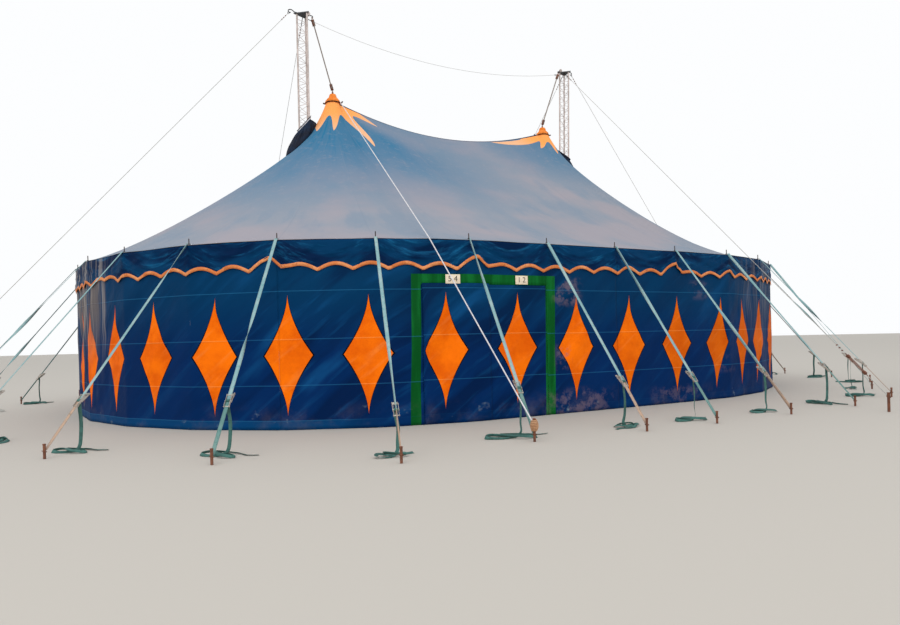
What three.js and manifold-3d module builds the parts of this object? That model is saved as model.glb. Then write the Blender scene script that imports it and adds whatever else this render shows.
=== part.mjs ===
import * as THREE from 'three';
import { mergeVertices } from 'three/addons/utils/BufferGeometryUtils.js';
import Module from 'manifold-3d';

// A two-masted touring big top, in millimetres, +Z up.
// The origin is on the ground under the middle of the tent. +X runs along the ridge,
// and the door is in the long side that faces -Y.

const wasm = await Module();
wasm.setup();

// Plan: two half circles and two straight sides, hung between side poles
const END_RADIUS = 6400;
const STRAIGHT = 4900;
const BAYS = 32;
const FIRST_POLE = 125; // first side pole, right of the middle of the front

// Heights
const EAVE = 3000;
const RIDGE_MIDDLE = 6840;
const CUPOLA_EDGE = 7360;

// Cupolas on the ridge, and how the canvas falls away from them
const CUPOLA_X = 3200;
const CUPOLA_RADIUS = 210;
const RIDGE_END = CUPOLA_X - CUPOLA_RADIUS;
const THROAT_SHARE = 0.15; // part of the fall that is steep, right under the cupola
const THROAT_POWER = 16;
const SLACK_LEFT = 1.22; // power of the rest of the fall: more is more hollow
const SLACK_RIGHT = 1.45;
const GORE_ROWS = 6;
const GORE_CROWDING = 1.7; // rows lie closer near the cupola

// Fabric layers at the eave, as distances outside the line of the plan
const CANVAS = 8;
const CANVAS_EDGE = 12;
const VALANCE_OUTSIDE = 12;
const WALL_OUTSIDE = -5.7;
const WEBBING_OUTSIDE = -14;
const WEBBING_INSIDE = -22;
const POLE_LINE = -36;

// Gap that touching pieces keep
const GAP = 0.3;

// Valance: three scallops to a bay
const SCALLOPS = 3;
const VALANCE_TOP = EAVE - CANVAS - GAP;
const SCALLOP_CUSP = 2530;
const SCALLOP_CREST = 2670;
const SCALLOP_STEPS = 3;
const END_BLOCK = 200;

// Wall and door
const WALL_TOP = 2950;
const DOOR_LEFT = -3830;
const DOOR_MIDDLE = -2670;
const DOOR_RIGHT = -1490;
const DOOR_HEIGHT = 2270;

// Side poles, each with a pin through the canvas and a strap to a stake
const POLE_RADIUS = 20;
const POLE_TOP_CLEARANCE = 0.5;
const PIN = { radius: 9, top: 3170, root: 20, hole: 14 };
const WEBBING = { low: 2895, high: 2945 };
const WEBBING_END = 20; // how far the last run of a set stops short of the next pole
const STRAP = { width: 50, thickness: 6, top: 3128, bottom: 95, past: 22 };
const STAKE = { radius: 18, height: 190 };
const STAKE_OUT = 2450;
const STAKE_ASIDE = -150;

// Stakes that stand nearer or farther than the rest: distance out from the pole, and to one side
const ODD_STAKES = {
  0: [2480, -340],
  4: [2030, -280],
  27: [2570, -40],
  28: [2780, 190],
  29: [3090, 90],
  30: [2310, -140],
};

// Masts, left and right: distances of foot and top from the middle of the tent, and height
const MASTS = {
  [-1]: { foot: 3930, top: 3900, height: 9440 },
  1: { foot: 3780, top: 4060, height: 9360 },
};

// Each mast has three chords laced with a zigzag, and a three-cornered plate on its head
const MAST_SIDE = 260;
const MAST_TURN = THREE.MathUtils.degToRad(172); // direction of the first chord from the middle
const CHORDS = 3;
const CHORD_RADIUS = 22;
const LACING_RADIUS = 9;
const LACING_STEPS = 32;
const LACING_MARGIN = 24; // how far a bar ends from its step, so that ends do not meet
const MAST_BASE = { size: 480, height: 20 };
const HEAD_PLATE = { reach: 230, thickness: 24, below: 30 };
const HEAD_EYE = { plate: 270, hook: 60, radius: 12 }; // length of an eye on the plate or on a hook
const HOOK_RADIUS = 14;
const MAST_HOLE = 205;

// Stays: where each one meets the ground, and the reach of the hook that holds an end stay
const STAY_RADIUS = 7;
const STAY_STAKE = { radius: 22, height: 320 };
const STAY_TIE = 250; // height at which a stay meets its stake
const STAYS = {
  stay_left_end: { side: -1, foot: [-11900, -600], hook: 330 },
  stay_left_back: { side: -1, foot: [-3800, 9600], hook: 0 },
  stay_right_end: { side: 1, foot: [11900, 400], hook: 250 },
  stay_right_front: { side: 1, foot: [3000, -9600], hook: 0 },
  stay_right_back: { side: 1, foot: [3800, 9600], hook: 0 },
};
const HEAD_CABLE_RADIUS = 5;
const HEAD_CABLE_SAG = 450;
const HEAD_CABLE_Y = 110;
const HEAD_CABLE_STEPS = 12;

// Cupola ring with its lifting rod, and the cloth cap over it
const RING = { inside: 185, outside: 240, height: 34 };
const CROSS_BAR = 24;
const ROD = { radius: 13, top: 7600 };
const CAP = { foot: 222, top: 105, height: 170, cloth: 8, hole: 20 };
const CAP_SIDES = 16;

// Hoist between mast head and lifting rod: a link and a block at each end, and three ropes
const HOIST = { reach: 225, link: 45, root: 20, linkRadius: 9, block: 190, blockRadius: 38 };
const HOIST_ROPE = { radius: 8, spread: 20 };

// Cloth sleeves where the masts pass through the roof. The left one is tied high, the right one
// lies low on the slope. Their feet are spread out down the slope by a shift.
const SLEEVES = {
  [-1]: { skirt: 420, height: 600, shift: 150, level: 1 }, // level 1 keeps the top level
  1: { skirt: 330, height: 130, shift: 70, level: 0 }, // level 0 has it follow the roof
};
const SLEEVE_SIDES = 12;
const SLEEVE_CLOTH = 14;
const SLEEVE_HEM = 0.1; // shares of the height for the skirt's hem, the bulge and the tail
const SLEEVE_BULGE = 0.5;
const SLEEVE_FULLNESS = 0.72; // how much of the skirt's spread is left at the bulge
const SLEEVE_TAIL = { flare: 25, height: 45 };
const SLEEVE_FOOT = 260; // how far its cloth is drawn below the roof before it is cut
const SLEEVE_CUT = 1500; // depth below the canvas that is cleared of sleeve

// Rope from the left cupola over the front of the roof to a stake
const ROPE_RADIUS = 8;
const ROPE_HEAD_TURN = THREE.MathUtils.degToRad(-22.5); // where it is tied to the ring
const ROPE_POLE = 30; // the pole whose stake it is tied to
const ROPE_EAVE = -3570; // where it crosses the eave, along the plan
const ROPE_LIFT = 18; // height of its middle over the eave
const ROPE_WRAP = { outside: 46, low: 8, high: 72, tie: 50, sides: 8 };

const PERIMETER = 2 * STRAIGHT + 2 * Math.PI * END_RADIUS;
const PITCH = PERIMETER / BAYS;
const UP = new THREE.Vector3(0, 0, 1);

// Materials

const material = (color, roughness, metalness = 0) =>
  new THREE.MeshStandardMaterial({ color, roughness, metalness });
const ROOF_CANVAS = material('#8c97a8', 0.75);
const BLUE_CANVAS = material('#0b3a6b', 0.6);
const ORANGE_CLOTH = material('#f08a35', 0.8);
const DARK_CLOTH = material('#16264a', 0.85);
const GALVANISED = material('#8f8f8c', 0.5, 0.8);
const RUSTY_STEEL = material('#7a5a4c', 0.8, 0.4);
const WEBBING_CLOTH = material('#7fa9a8', 0.8);
const STEEL_ROPE = material('#5f6163', 0.5, 0.7);
const WHITE_ROPE = material('#d9d3c8', 0.9);

// Solids: join and cut closed shapes

function solid(geometry) {
  const bare = geometry.clone();
  bare.deleteAttribute('normal');
  bare.deleteAttribute('uv');
  const merged = mergeVertices(bare, 1e-3);
  return new wasm.Manifold(new wasm.Mesh({
    numProp: 3,
    vertProperties: new Float32Array(merged.attributes.position.array),
    triVerts: new Uint32Array(merged.index.array),
  }));
}

function join(shapes) {
  return shapes.reduce((whole, shape) => whole.add(shape));
}

function toGeometry(shape) {
  const { vertProperties, triVerts } = shape.getMesh();
  const geometry = new THREE.BufferGeometry();
  geometry.setAttribute('position', new THREE.BufferAttribute(new Float32Array(vertProperties), 3));
  geometry.setIndex([...triVerts]);
  return geometry;
}

// Simple shapes in place

function box(width, depth, height, centre) {
  const geometry = new THREE.BoxGeometry(width, depth, height);
  return geometry.translate(centre.x, centre.y, centre.z);
}

function upright(radius, sides, low, high, x, y) {
  const geometry = new THREE.CylinderGeometry(radius, radius, high - low, sides);
  geometry.rotateX(Math.PI / 2);
  return geometry.translate(x, y, (low + high) / 2);
}

function bar(from, to, radius, sides) {
  const along = to.clone().sub(from);
  const geometry = new THREE.CylinderGeometry(radius, radius, along.length(), sides);
  const turn = new THREE.Quaternion().setFromUnitVectors(new THREE.Vector3(0, 1, 0), along.normalize());
  geometry.applyQuaternion(turn);
  const middle = from.clone().add(to).multiplyScalar(0.5);
  return geometry.translate(middle.x, middle.y, middle.z);
}

// A flat bar between two points, its width level with the ground
function flatBar(from, to, width, thickness) {
  const along = to.clone().sub(from);
  const length = along.length();
  along.normalize();
  const across = new THREE.Vector3().crossVectors(UP, along).normalize();
  const face = new THREE.Vector3().crossVectors(along, across);
  const geometry = new THREE.BoxGeometry(length, width, thickness);
  geometry.applyMatrix4(new THREE.Matrix4().makeBasis(along, across, face));
  const middle = from.clone().add(to).multiplyScalar(0.5);
  return geometry.translate(middle.x, middle.y, middle.z);
}

// Plan: the stadium, its pole corners, and lines parallel to it

function stadiumPoint(distance) {
  const lap = PERIMETER / 2;
  const shifted = distance + STRAIGHT / 2;
  const halves = Math.floor(shifted / lap);
  const run = shifted - halves * lap;
  const side = halves % 2 === 0 ? 1 : -1;
  if (run <= STRAIGHT) {
    return new THREE.Vector2(run - STRAIGHT / 2, -END_RADIUS).multiplyScalar(side);
  }
  const turn = (run - STRAIGHT) / END_RADIUS - Math.PI / 2;
  const x = STRAIGHT / 2 + END_RADIUS * Math.cos(turn);
  return new THREE.Vector2(x, END_RADIUS * Math.sin(turn)).multiplyScalar(side);
}

const poleAt = (index) => FIRST_POLE + index * PITCH;
const corner = (index) => stadiumPoint(poleAt(index));

function sideNormal(index) {
  const run = corner(index + 1).sub(corner(index)).normalize();
  return new THREE.Vector2(run.y, -run.x);
}

// Unit step outwards at a pole, stretched so that parallel lines keep their distance
function mitre(index) {
  const before = sideNormal(index - 1);
  const after = sideNormal(index);
  const stretch = 1 + before.dot(after);
  return before.add(after).divideScalar(stretch);
}

const offsetCorner = (index, outside) => corner(index).addScaledVector(mitre(index), outside);

function planPoint(distance, outside) {
  const place = (distance - FIRST_POLE) / PITCH;
  const index = Math.floor(place + 1e-9);
  return offsetCorner(index, outside).lerp(offsetCorner(index + 1, outside), place - index);
}

// Distances of the pole corners that lie inside a stretch of the plan
function cornersBetween(start, end) {
  const first = Math.floor((start - FIRST_POLE) / PITCH) + 1;
  const found = [];
  for (let index = first; poleAt(index) < end; index += 1) {
    found.push(poleAt(index));
  }
  return found;
}

// Wall canvas: the plan of one stretch, drawn up from low to high

function wallPiece(start, end, low, high) {
  const stations = [start + GAP / 2, ...cornersBetween(start + 1, end - 1), end - GAP / 2];
  const outside = stations.map((distance) => planPoint(distance, WALL_OUTSIDE));
  const inside = stations.map((distance) => planPoint(distance, WALL_OUTSIDE - CANVAS)).reverse();
  const outline = new THREE.Shape([...outside, ...inside]);
  const geometry = new THREE.ExtrudeGeometry(outline, { depth: high - low, bevelEnabled: false });
  return geometry.translate(0, 0, low);
}

// Valance: a scalloped panel for each bay, joined at the poles

function valanceBay(index) {
  const start = offsetCorner(index, VALANCE_OUTSIDE);
  const end = offsetCorner(index + 1, VALANCE_OUTSIDE);
  const length = start.distanceTo(end);
  const normal = sideNormal(index);
  const scallop = length / SCALLOPS;
  const outline = new THREE.Shape();
  outline.moveTo(0, VALANCE_TOP);
  outline.lineTo(0, SCALLOP_CUSP);
  for (let count = 0; count < SCALLOPS; count += 1) {
    const pull = 2 * SCALLOP_CREST - SCALLOP_CUSP;
    outline.quadraticCurveTo((count + 0.5) * scallop, pull, (count + 1) * scallop, SCALLOP_CUSP);
  }
  outline.lineTo(length, VALANCE_TOP);
  const settings = { depth: CANVAS, bevelEnabled: false, curveSegments: SCALLOP_STEPS };
  const geometry = new THREE.ExtrudeGeometry(outline, settings);
  const along = end.clone().sub(start).normalize();
  const frame = new THREE.Matrix4().makeBasis(
    new THREE.Vector3(along.x, along.y, 0),
    UP,
    new THREE.Vector3(normal.x, normal.y, 0),
  );
  geometry.applyMatrix4(frame);
  const back = start.addScaledVector(normal, -CANVAS);
  return geometry.translate(back.x, back.y, 0);
}

function valance(first, last) {
  const bays = [];
  for (let index = first; index < last; index += 1) {
    bays.push(solid(valanceBay(index)));
  }
  return join(bays).subtract(beyondPole(first, -1)).subtract(beyondPole(last, 1));
}

// A block on one side of a pole, to end a run of bays half a gap before it
function beyondPole(index, direction) {
  const out = mitre(index).normalize();
  const along = new THREE.Vector2(-out.y, out.x);
  const centre = corner(index).addScaledVector(along, direction * (END_BLOCK / 2 - GAP / 2));
  const block = new THREE.BoxGeometry(END_BLOCK, END_BLOCK, 2 * EAVE);
  block.rotateZ(Math.atan2(out.y, out.x));
  return solid(block.translate(centre.x, centre.y, EAVE));
}

// Roof canvas: gores that fall from the ridge or a cupola to the eave

const ridgeHeight = (x) =>
  RIDGE_MIDDLE + (CUPOLA_EDGE - RIDGE_MIDDLE) * (x / RIDGE_END) ** 2;

// Point of the ridge where a front and a back gore meet
function ridgePoint(run) {
  const x = THREE.MathUtils.clamp(run, -RIDGE_END, RIDGE_END);
  return new THREE.Vector3(x, 0, ridgeHeight(x));
}

// Point of a cupola's rim on the side of the eave point
function rimPoint(edge) {
  const centre = new THREE.Vector2(Math.sign(edge.x) * CUPOLA_X, 0);
  const rim = edge.clone().sub(centre).setLength(CUPOLA_RADIUS).add(centre);
  return new THREE.Vector3(rim.x, rim.y, CUPOLA_EDGE);
}

// Share of the height that is left after a share of the way from ridge to eave
function fall(share, x) {
  const towards = THREE.MathUtils.clamp(x / CUPOLA_X, -1, 1);
  const throat = THROAT_SHARE * towards ** 4;
  const slack = THREE.MathUtils.mapLinear(towards, -1, 1, SLACK_LEFT, SLACK_RIGHT);
  return throat * (1 - share) ** THROAT_POWER + (1 - throat) * (1 - share) ** slack;
}

function gorePoint(gore, share) {
  const { edge, head } = gore;
  const height = EAVE + (head.z - EAVE) * fall(share, edge.x);
  return new THREE.Vector3(
    THREE.MathUtils.lerp(head.x, edge.x, share),
    THREE.MathUtils.lerp(head.y, edge.y, share),
    height,
  );
}

const rowShare = (row) => (row / GORE_ROWS) ** GORE_CROWDING;

// Distance from the middle of the front or of the back, towards +X
function runAlongSide(distance) {
  const lap = PERIMETER / 2;
  const run = THREE.MathUtils.euclideanModulo(distance + lap / 2, PERIMETER) - lap / 2;
  return run > lap / 2 ? lap - run : run;
}

// The run is in whole millimetres, so that front and back meet in the same point
function goreTo(distance) {
  const edge = planPoint(distance, CANVAS_EDGE);
  const run = Math.round(runAlongSide(distance));
  const onRidge = Math.abs(run) < CUPOLA_X;
  return { edge, onRidge, head: onRidge ? ridgePoint(run) : rimPoint(edge) };
}

// Gore seams run to every pole and to its mirror image across the ridge
function makeGores() {
  const gores = [];
  for (let index = 0; index < BAYS; index += 1) {
    gores.push(goreTo(poleAt(index)));
    gores.push(goreTo(poleAt(index + 1) - 2 * FIRST_POLE));
  }
  return gores;
}

const GORES = makeGores();

// Closed shell between the canvas raised by a lift and a depth below that
function roofShell(lift, depth) {
  const count = GORES.length;
  const rows = GORE_ROWS + 1;
  const positions = [];
  for (const drop of [0, depth]) {
    for (const gore of GORES) {
      for (let row = 0; row < rows; row += 1) {
        const { x, y, z } = gorePoint(gore, rowShare(row));
        positions.push(x, y, z + lift - drop);
      }
    }
  }
  const top = (column, row) => (column % count) * rows + row;
  const bottom = (column, row) => count * rows + top(column, row);
  const faces = [];
  const quad = (a, b, c, d) => faces.push(a, b, c, a, c, d);
  for (let column = 0; column < count; column += 1) {
    const next = column + 1;
    for (let row = 0; row < GORE_ROWS; row += 1) {
      quad(top(column, row), top(column, row + 1), top(next, row + 1), top(next, row));
      quad(bottom(next, row), bottom(next, row + 1), bottom(column, row + 1), bottom(column, row));
    }
    quad(top(column, GORE_ROWS), bottom(column, GORE_ROWS), bottom(next, GORE_ROWS), top(next, GORE_ROWS));
    if (!(GORES[column].onRidge && GORES[next % count].onRidge)) {
      quad(top(next, 0), bottom(next, 0), bottom(column, 0), top(column, 0));
    }
  }
  const geometry = new THREE.BufferGeometry();
  geometry.setAttribute('position', new THREE.Float32BufferAttribute(positions, 3));
  geometry.setIndex(faces);
  return solid(geometry);
}

// Height of the canvas's outside at a pole, a distance in from its edge
function canvasHeightAtPole(index, inwards) {
  const gore = GORES[2 * THREE.MathUtils.euclideanModulo(index, BAYS)];
  const low = gorePoint(gore, 1);
  const high = gorePoint(gore, rowShare(GORE_ROWS - 1));
  const run = Math.hypot(high.x - low.x, high.y - low.y);
  return low.z + (high.z - low.z) * inwards / run;
}

function mastPoint(side, height) {
  const mast = MASTS[side];
  const x = THREE.MathUtils.lerp(mast.foot, mast.top, height / mast.height);
  return new THREE.Vector3(side * x, 0, height);
}

function makeRoof() {
  const holes = [];
  for (let index = 0; index < BAYS; index += 1) {
    const place = offsetCorner(index, POLE_LINE);
    holes.push(solid(upright(PIN.hole, 4, WEBBING.high, PIN.top, place.x, place.y)));
  }
  for (const side of [-1, 1]) {
    const from = mastPoint(side, EAVE);
    const to = mastPoint(side, MASTS[side].height);
    holes.push(solid(bar(from, to, MAST_HOLE, SLEEVE_SIDES)));
  }
  return roofShell(0, CANVAS).subtract(join(holes));
}

function roofSection(roof, low, high) {
  const size = 4 * END_RADIUS;
  const block = box(high - low - GAP, size, size, new THREE.Vector3((low + high) / 2, 0, EAVE));
  return roof.intersect(solid(block));
}

// Side poles with their straps and stakes

function stakePlace(index) {
  const [out, aside] = ODD_STAKES[index] ?? [STAKE_OUT, STAKE_ASIDE];
  const normal = mitre(index).normalize();
  const tangent = new THREE.Vector2(-normal.y, normal.x);
  return corner(index).addScaledVector(normal, out).addScaledVector(tangent, aside);
}

const stake = (place, radius, height) => solid(upright(radius, 6, 0, height, place.x, place.y));

function sidePole(index) {
  const foot = offsetCorner(index, POLE_LINE);
  const canvas = canvasHeightAtPole(index, CANVAS_EDGE - POLE_LINE - POLE_RADIUS);
  const top = canvas - CANVAS - POLE_TOP_CLEARANCE;
  return join([
    solid(upright(POLE_RADIUS, 6, 0, top, foot.x, foot.y)),
    solid(upright(PIN.radius, 4, top - PIN.root, PIN.top, foot.x, foot.y)),
  ]);
}

function guyStrap(index) {
  const foot = offsetCorner(index, POLE_LINE);
  const place = stakePlace(index);
  const start = new THREE.Vector3(foot.x, foot.y, STRAP.top);
  const end = new THREE.Vector3(place.x, place.y, STRAP.bottom);
  const past = start.clone().sub(end).setLength(STRAP.past);
  const strap = solid(flatBar(start.add(past), end, STRAP.width, STRAP.thickness));
  return strap.add(stake(place, STAKE.radius, STAKE.height));
}

function eaveWebbing(index, endGap) {
  const start = poleAt(index);
  const end = poleAt(index + 1) - endGap;
  const outline = new THREE.Shape([
    planPoint(start, WEBBING_OUTSIDE),
    planPoint(end, WEBBING_OUTSIDE),
    planPoint(end, WEBBING_INSIDE),
    planPoint(start, WEBBING_INSIDE),
  ]);
  const settings = { depth: WEBBING.high - WEBBING.low, bevelEnabled: false };
  return new THREE.ExtrudeGeometry(outline, settings).translate(0, 0, WEBBING.low);
}

function sideSet(first, last) {
  const pieces = [];
  for (let index = first; index < last; index += 1) {
    pieces.push(sidePole(index), guyStrap(index));
    pieces.push(solid(eaveWebbing(index, index === last - 1 ? WEBBING_END : 0)));
  }
  return join(pieces);
}

// Masts

function chordPoint(side, height, chord) {
  const turn = MAST_TURN + (2 * Math.PI * chord) / CHORDS;
  const reach = MAST_SIDE / Math.sqrt(3);
  const out = new THREE.Vector3(reach * Math.cos(turn), reach * Math.sin(turn), 0);
  return mastPoint(side, height).add(out);
}

// Middle of the head plate, or a point of its level towards the end of the tent
function headPoint(side, outwards = 0) {
  const point = mastPoint(side, MASTS[side].height - HEAD_PLATE.below);
  return point.add(new THREE.Vector3(side * outwards, 0, 0));
}

// The head cable starts behind the hoist, so that it passes its block
const cablePoint = (side) => headPoint(side).setY(HEAD_CABLE_Y);

// Point a length along the line from a root to a target
function pointTowards(root, target, length) {
  const towards = target.clone().sub(root).normalize();
  return root.clone().addScaledVector(towards, length);
}

const stayTie = (stay) => new THREE.Vector3(stay.foot[0], stay.foot[1], STAY_TIE);
const stayRoot = (stay) => headPoint(stay.side, stay.hook);
const eyeLength = (stay) => (stay.hook ? HEAD_EYE.hook : HEAD_EYE.plate);

// The head cable leaves a mast along the slope of its sag
const cableTarget = (side) => cablePoint(-side).sub(new THREE.Vector3(0, 0, 4 * HEAD_CABLE_SAG));

function lacing(side, chord) {
  const rise = MASTS[side].height / LACING_STEPS;
  const bars = [];
  for (let step = 0; step < LACING_STEPS; step += 1) {
    const low = step * rise + LACING_MARGIN;
    const high = (step + 1) * rise - LACING_MARGIN;
    const swap = step % 2;
    const from = chordPoint(side, low, chord + swap);
    const to = chordPoint(side, high, chord + 1 - swap);
    bars.push(solid(bar(from, to, LACING_RADIUS, 3)));
  }
  return join(bars);
}

// Plate on the mast's head, its corners over the chords
function headPlate(side) {
  const half = HEAD_PLATE.thickness / 2;
  const plate = upright(HEAD_PLATE.reach, CHORDS, -half, half, 0, 0);
  plate.rotateZ(MAST_TURN + Math.PI / 2);
  const middle = headPoint(side);
  return solid(plate.translate(middle.x, middle.y, middle.z));
}

const hook = (side, reach) => solid(bar(headPoint(side), headPoint(side, reach), HOOK_RADIUS, 6));

function eye(root, target, length) {
  return solid(bar(root, pointTowards(root, target, length), HEAD_EYE.radius, 6));
}

function mast(side) {
  const foot = mastPoint(side, MAST_BASE.height / 2);
  const pieces = [
    solid(box(MAST_BASE.size, MAST_BASE.size, MAST_BASE.height, foot)),
    headPlate(side),
    hook(side, -HOIST.reach),
    eye(cablePoint(side), cableTarget(side), HEAD_EYE.plate),
  ];
  for (let chord = 0; chord < CHORDS; chord += 1) {
    const low = chordPoint(side, MAST_BASE.height / 2, chord);
    const high = chordPoint(side, MASTS[side].height, chord);
    pieces.push(solid(bar(low, high, CHORD_RADIUS, 4)), lacing(side, chord));
  }
  for (const stay of Object.values(STAYS).filter((each) => each.side === side)) {
    pieces.push(eye(stayRoot(stay), stayTie(stay), eyeLength(stay)));
    if (stay.hook) {
      pieces.push(hook(side, stay.hook));
    }
  }
  return join(pieces);
}

// Stays and the cable between the mast heads

function stayCable(stay) {
  const foot = new THREE.Vector2(...stay.foot);
  const tie = stayTie(stay);
  const from = pointTowards(stayRoot(stay), tie, eyeLength(stay) + GAP);
  return solid(bar(from, tie, STAY_RADIUS, 6)).add(stake(foot, STAY_STAKE.radius, STAY_STAKE.height));
}

function tubeAlong(curve, radius, sides, steps) {
  const round = new THREE.Shape();
  round.absarc(0, 0, radius, 0, 2 * Math.PI);
  const outline = new THREE.Shape(round.getSpacedPoints(sides).slice(0, sides));
  return new THREE.ExtrudeGeometry(outline, { steps, bevelEnabled: false, extrudePath: curve });
}

function headCable() {
  const from = pointTowards(cablePoint(-1), cableTarget(-1), HEAD_EYE.plate + GAP);
  const to = pointTowards(cablePoint(1), cableTarget(1), HEAD_EYE.plate + GAP);
  const points = [];
  for (let step = 0; step <= HEAD_CABLE_STEPS; step += 1) {
    const share = step / HEAD_CABLE_STEPS;
    const point = from.clone().lerp(to, share);
    point.z -= 4 * HEAD_CABLE_SAG * share * (1 - share);
    points.push(point);
  }
  return tubeAlong(new THREE.CatmullRomCurve3(points), HEAD_CABLE_RADIUS, 6, HEAD_CABLE_STEPS);
}

// Cupola, cap, hoist and sleeve

function ringGeometry(profile, sides) {
  const closed = [...profile, profile[0]].map(([radius, height]) => new THREE.Vector2(radius, height));
  const geometry = new THREE.LatheGeometry(closed, sides);
  return geometry.rotateX(Math.PI / 2);
}

function cupola(side) {
  const low = CUPOLA_EDGE + GAP;
  const high = low + RING.height;
  const hoop = ringGeometry([
    [RING.inside, low],
    [RING.outside, low],
    [RING.outside, high],
    [RING.inside, high],
  ], CAP_SIDES);
  const middle = (low + high) / 2;
  const reach = RING.inside + RING.outside;
  const centre = new THREE.Vector3(0, 0, middle);
  const shape = join([
    solid(hoop),
    solid(box(reach, CROSS_BAR, CROSS_BAR, centre)),
    solid(box(CROSS_BAR, reach, CROSS_BAR, centre)),
    solid(upright(ROD.radius, 8, middle, ROD.top, 0, 0)),
  ]);
  return toGeometry(shape).translate(side * CUPOLA_X, 0, 0);
}

function cap(side) {
  const low = CUPOLA_EDGE + RING.height + 2 * GAP;
  const high = low + CAP.height;
  const geometry = ringGeometry([
    [CAP.foot - CAP.cloth, low],
    [CAP.foot, low],
    [CAP.top, high],
    [CAP.hole, high + CAP.cloth],
    [CAP.hole, high],
    [CAP.top - CAP.cloth, high - CAP.cloth],
  ], CAP_SIDES);
  return geometry.translate(side * CUPOLA_X, 0, 0);
}

function hoist(side) {
  const top = headPoint(side, -HOIST.reach);
  top.z -= HOOK_RADIUS + GAP;
  const bottom = new THREE.Vector3(side * CUPOLA_X, 0, ROD.top + GAP);
  const link = new THREE.Vector3(0, 0, HOIST.link);
  const root = new THREE.Vector3(0, 0, HOIST.link + HOIST.root);
  const high = top.clone().sub(link);
  const low = bottom.clone().add(link);
  const pieces = [
    solid(bar(top, top.clone().sub(root), HOIST.linkRadius, 6)),
    solid(bar(bottom, bottom.clone().add(root), HOIST.linkRadius, 6)),
    solid(bar(high, pointTowards(high, low, HOIST.block), HOIST.blockRadius, 4)),
    solid(bar(low, pointTowards(low, high, HOIST.block), HOIST.blockRadius, 4)),
  ];
  for (const place of [-1, 0, 1]) {
    const aside = new THREE.Vector3(0, place * HOIST_ROPE.spread, 0);
    const from = pointTowards(high, low, HOIST.root).add(aside);
    const to = pointTowards(low, high, HOIST.root).add(aside);
    pieces.push(solid(bar(from, to, HOIST_ROPE.radius, 6)));
  }
  return toGeometry(join(pieces));
}

// Outside of a sleeve as distances from the mast and heights over the roof, from its foot up
function sleeveProfile({ skirt, height }) {
  const chordReach = MAST_SIDE / Math.sqrt(3) + CHORD_RADIUS + GAP;
  const neck = chordReach / Math.cos(Math.PI / SLEEVE_SIDES) + SLEEVE_CLOTH;
  const bulge = THREE.MathUtils.lerp(neck, skirt, SLEEVE_FULLNESS);
  return [
    [skirt, -SLEEVE_FOOT],
    [skirt, height * SLEEVE_HEM],
    [bulge, height * SLEEVE_BULGE],
    [neck, height],
    [neck + SLEEVE_TAIL.flare, height + SLEEVE_TAIL.height],
  ];
}

function sleeve(side, underRoof) {
  const { height, shift, level } = SLEEVES[side];
  const roofThere = roofAtMast(side);
  const outer = sleeveProfile(SLEEVES[side]);
  const inner = outer.map(([radius, rise]) => [radius - SLEEVE_CLOTH, rise]).reverse();
  const shape = ringGeometry([...outer, ...inner], SLEEVE_SIDES);
  const points = shape.attributes.position;
  for (let index = 0; index < points.count; index += 1) {
    const outwards = side * points.getX(index);
    const rise = points.getZ(index);
    const share = THREE.MathUtils.clamp(rise / height, 0, 1);
    const slope = roofThere.slope * outwards * (1 - level * share);
    points.setX(index, side * (outwards + shift * (1 - share)));
    points.setZ(index, roofThere.height + rise + slope);
  }
  const foot = mastPoint(side, 0);
  const lean = mastPoint(side, EAVE).sub(foot).normalize();
  shape.applyQuaternion(new THREE.Quaternion().setFromUnitVectors(UP, lean));
  shape.translate(foot.x, foot.y, 0);
  return solid(shape).subtract(underRoof);
}

// Height and slope of the canvas on the long axis, where a mast passes through it
function roofAtMast(side) {
  const tip = GORES.reduce((best, gore) => (side * gore.edge.x > side * best.edge.x ? gore : best));
  const step = 0.002;
  let share = step;
  while (side * gorePoint(tip, share).x < side * mastPoint(side, gorePoint(tip, share).z).x) {
    share += step;
  }
  const here = gorePoint(tip, share);
  const before = gorePoint(tip, share - step);
  return { height: here.z, slope: (here.z - before.z) / (side * (here.x - before.x)) };
}

// Rope over the roof: tied to the cupola's ring, over the eave, and down to its stake

function roofRope() {
  const ringSide = RING.outside + GAP + ROPE_RADIUS;
  const head = new THREE.Vector3(
    ringSide * Math.cos(ROPE_HEAD_TURN) - CUPOLA_X,
    ringSide * Math.sin(ROPE_HEAD_TURN),
    CUPOLA_EDGE + RING.height / 2,
  );
  const out = mitre(ROPE_POLE).normalize();
  const eave = gorePoint(goreTo(ROPE_EAVE), 1);
  eave.add(new THREE.Vector3(out.x * ROPE_LIFT, out.y * ROPE_LIFT, ROPE_LIFT));
  const stakeTop = stakePlace(ROPE_POLE);
  const knot = stakeTop.clone().addScaledVector(out, -(STAKE.radius + ROPE_WRAP.outside) / 2);
  const points = [head, eave, new THREE.Vector3(knot.x, knot.y, ROPE_WRAP.tie)];
  const runs = points.slice(1).map((point, step) => solid(bar(points[step], point, ROPE_RADIUS, 8)));
  const inside = (STAKE.radius + GAP) / Math.cos(Math.PI / ROPE_WRAP.sides);
  const wrap = ringGeometry([
    [inside, ROPE_WRAP.low],
    [ROPE_WRAP.outside, ROPE_WRAP.low],
    [ROPE_WRAP.outside, ROPE_WRAP.high],
    [inside, ROPE_WRAP.high],
  ], ROPE_WRAP.sides);
  return join(runs).add(solid(wrap.translate(stakeTop.x, stakeTop.y, 0)));
}

// Assembly

const tent = new THREE.Group();

function place(name, shape, finish) {
  const geometry = shape.isBufferGeometry ? shape : toGeometry(shape);
  geometry.computeVertexNormals();
  const mesh = new THREE.Mesh(geometry, finish);
  mesh.name = name;
  tent.add(mesh);
}

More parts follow.
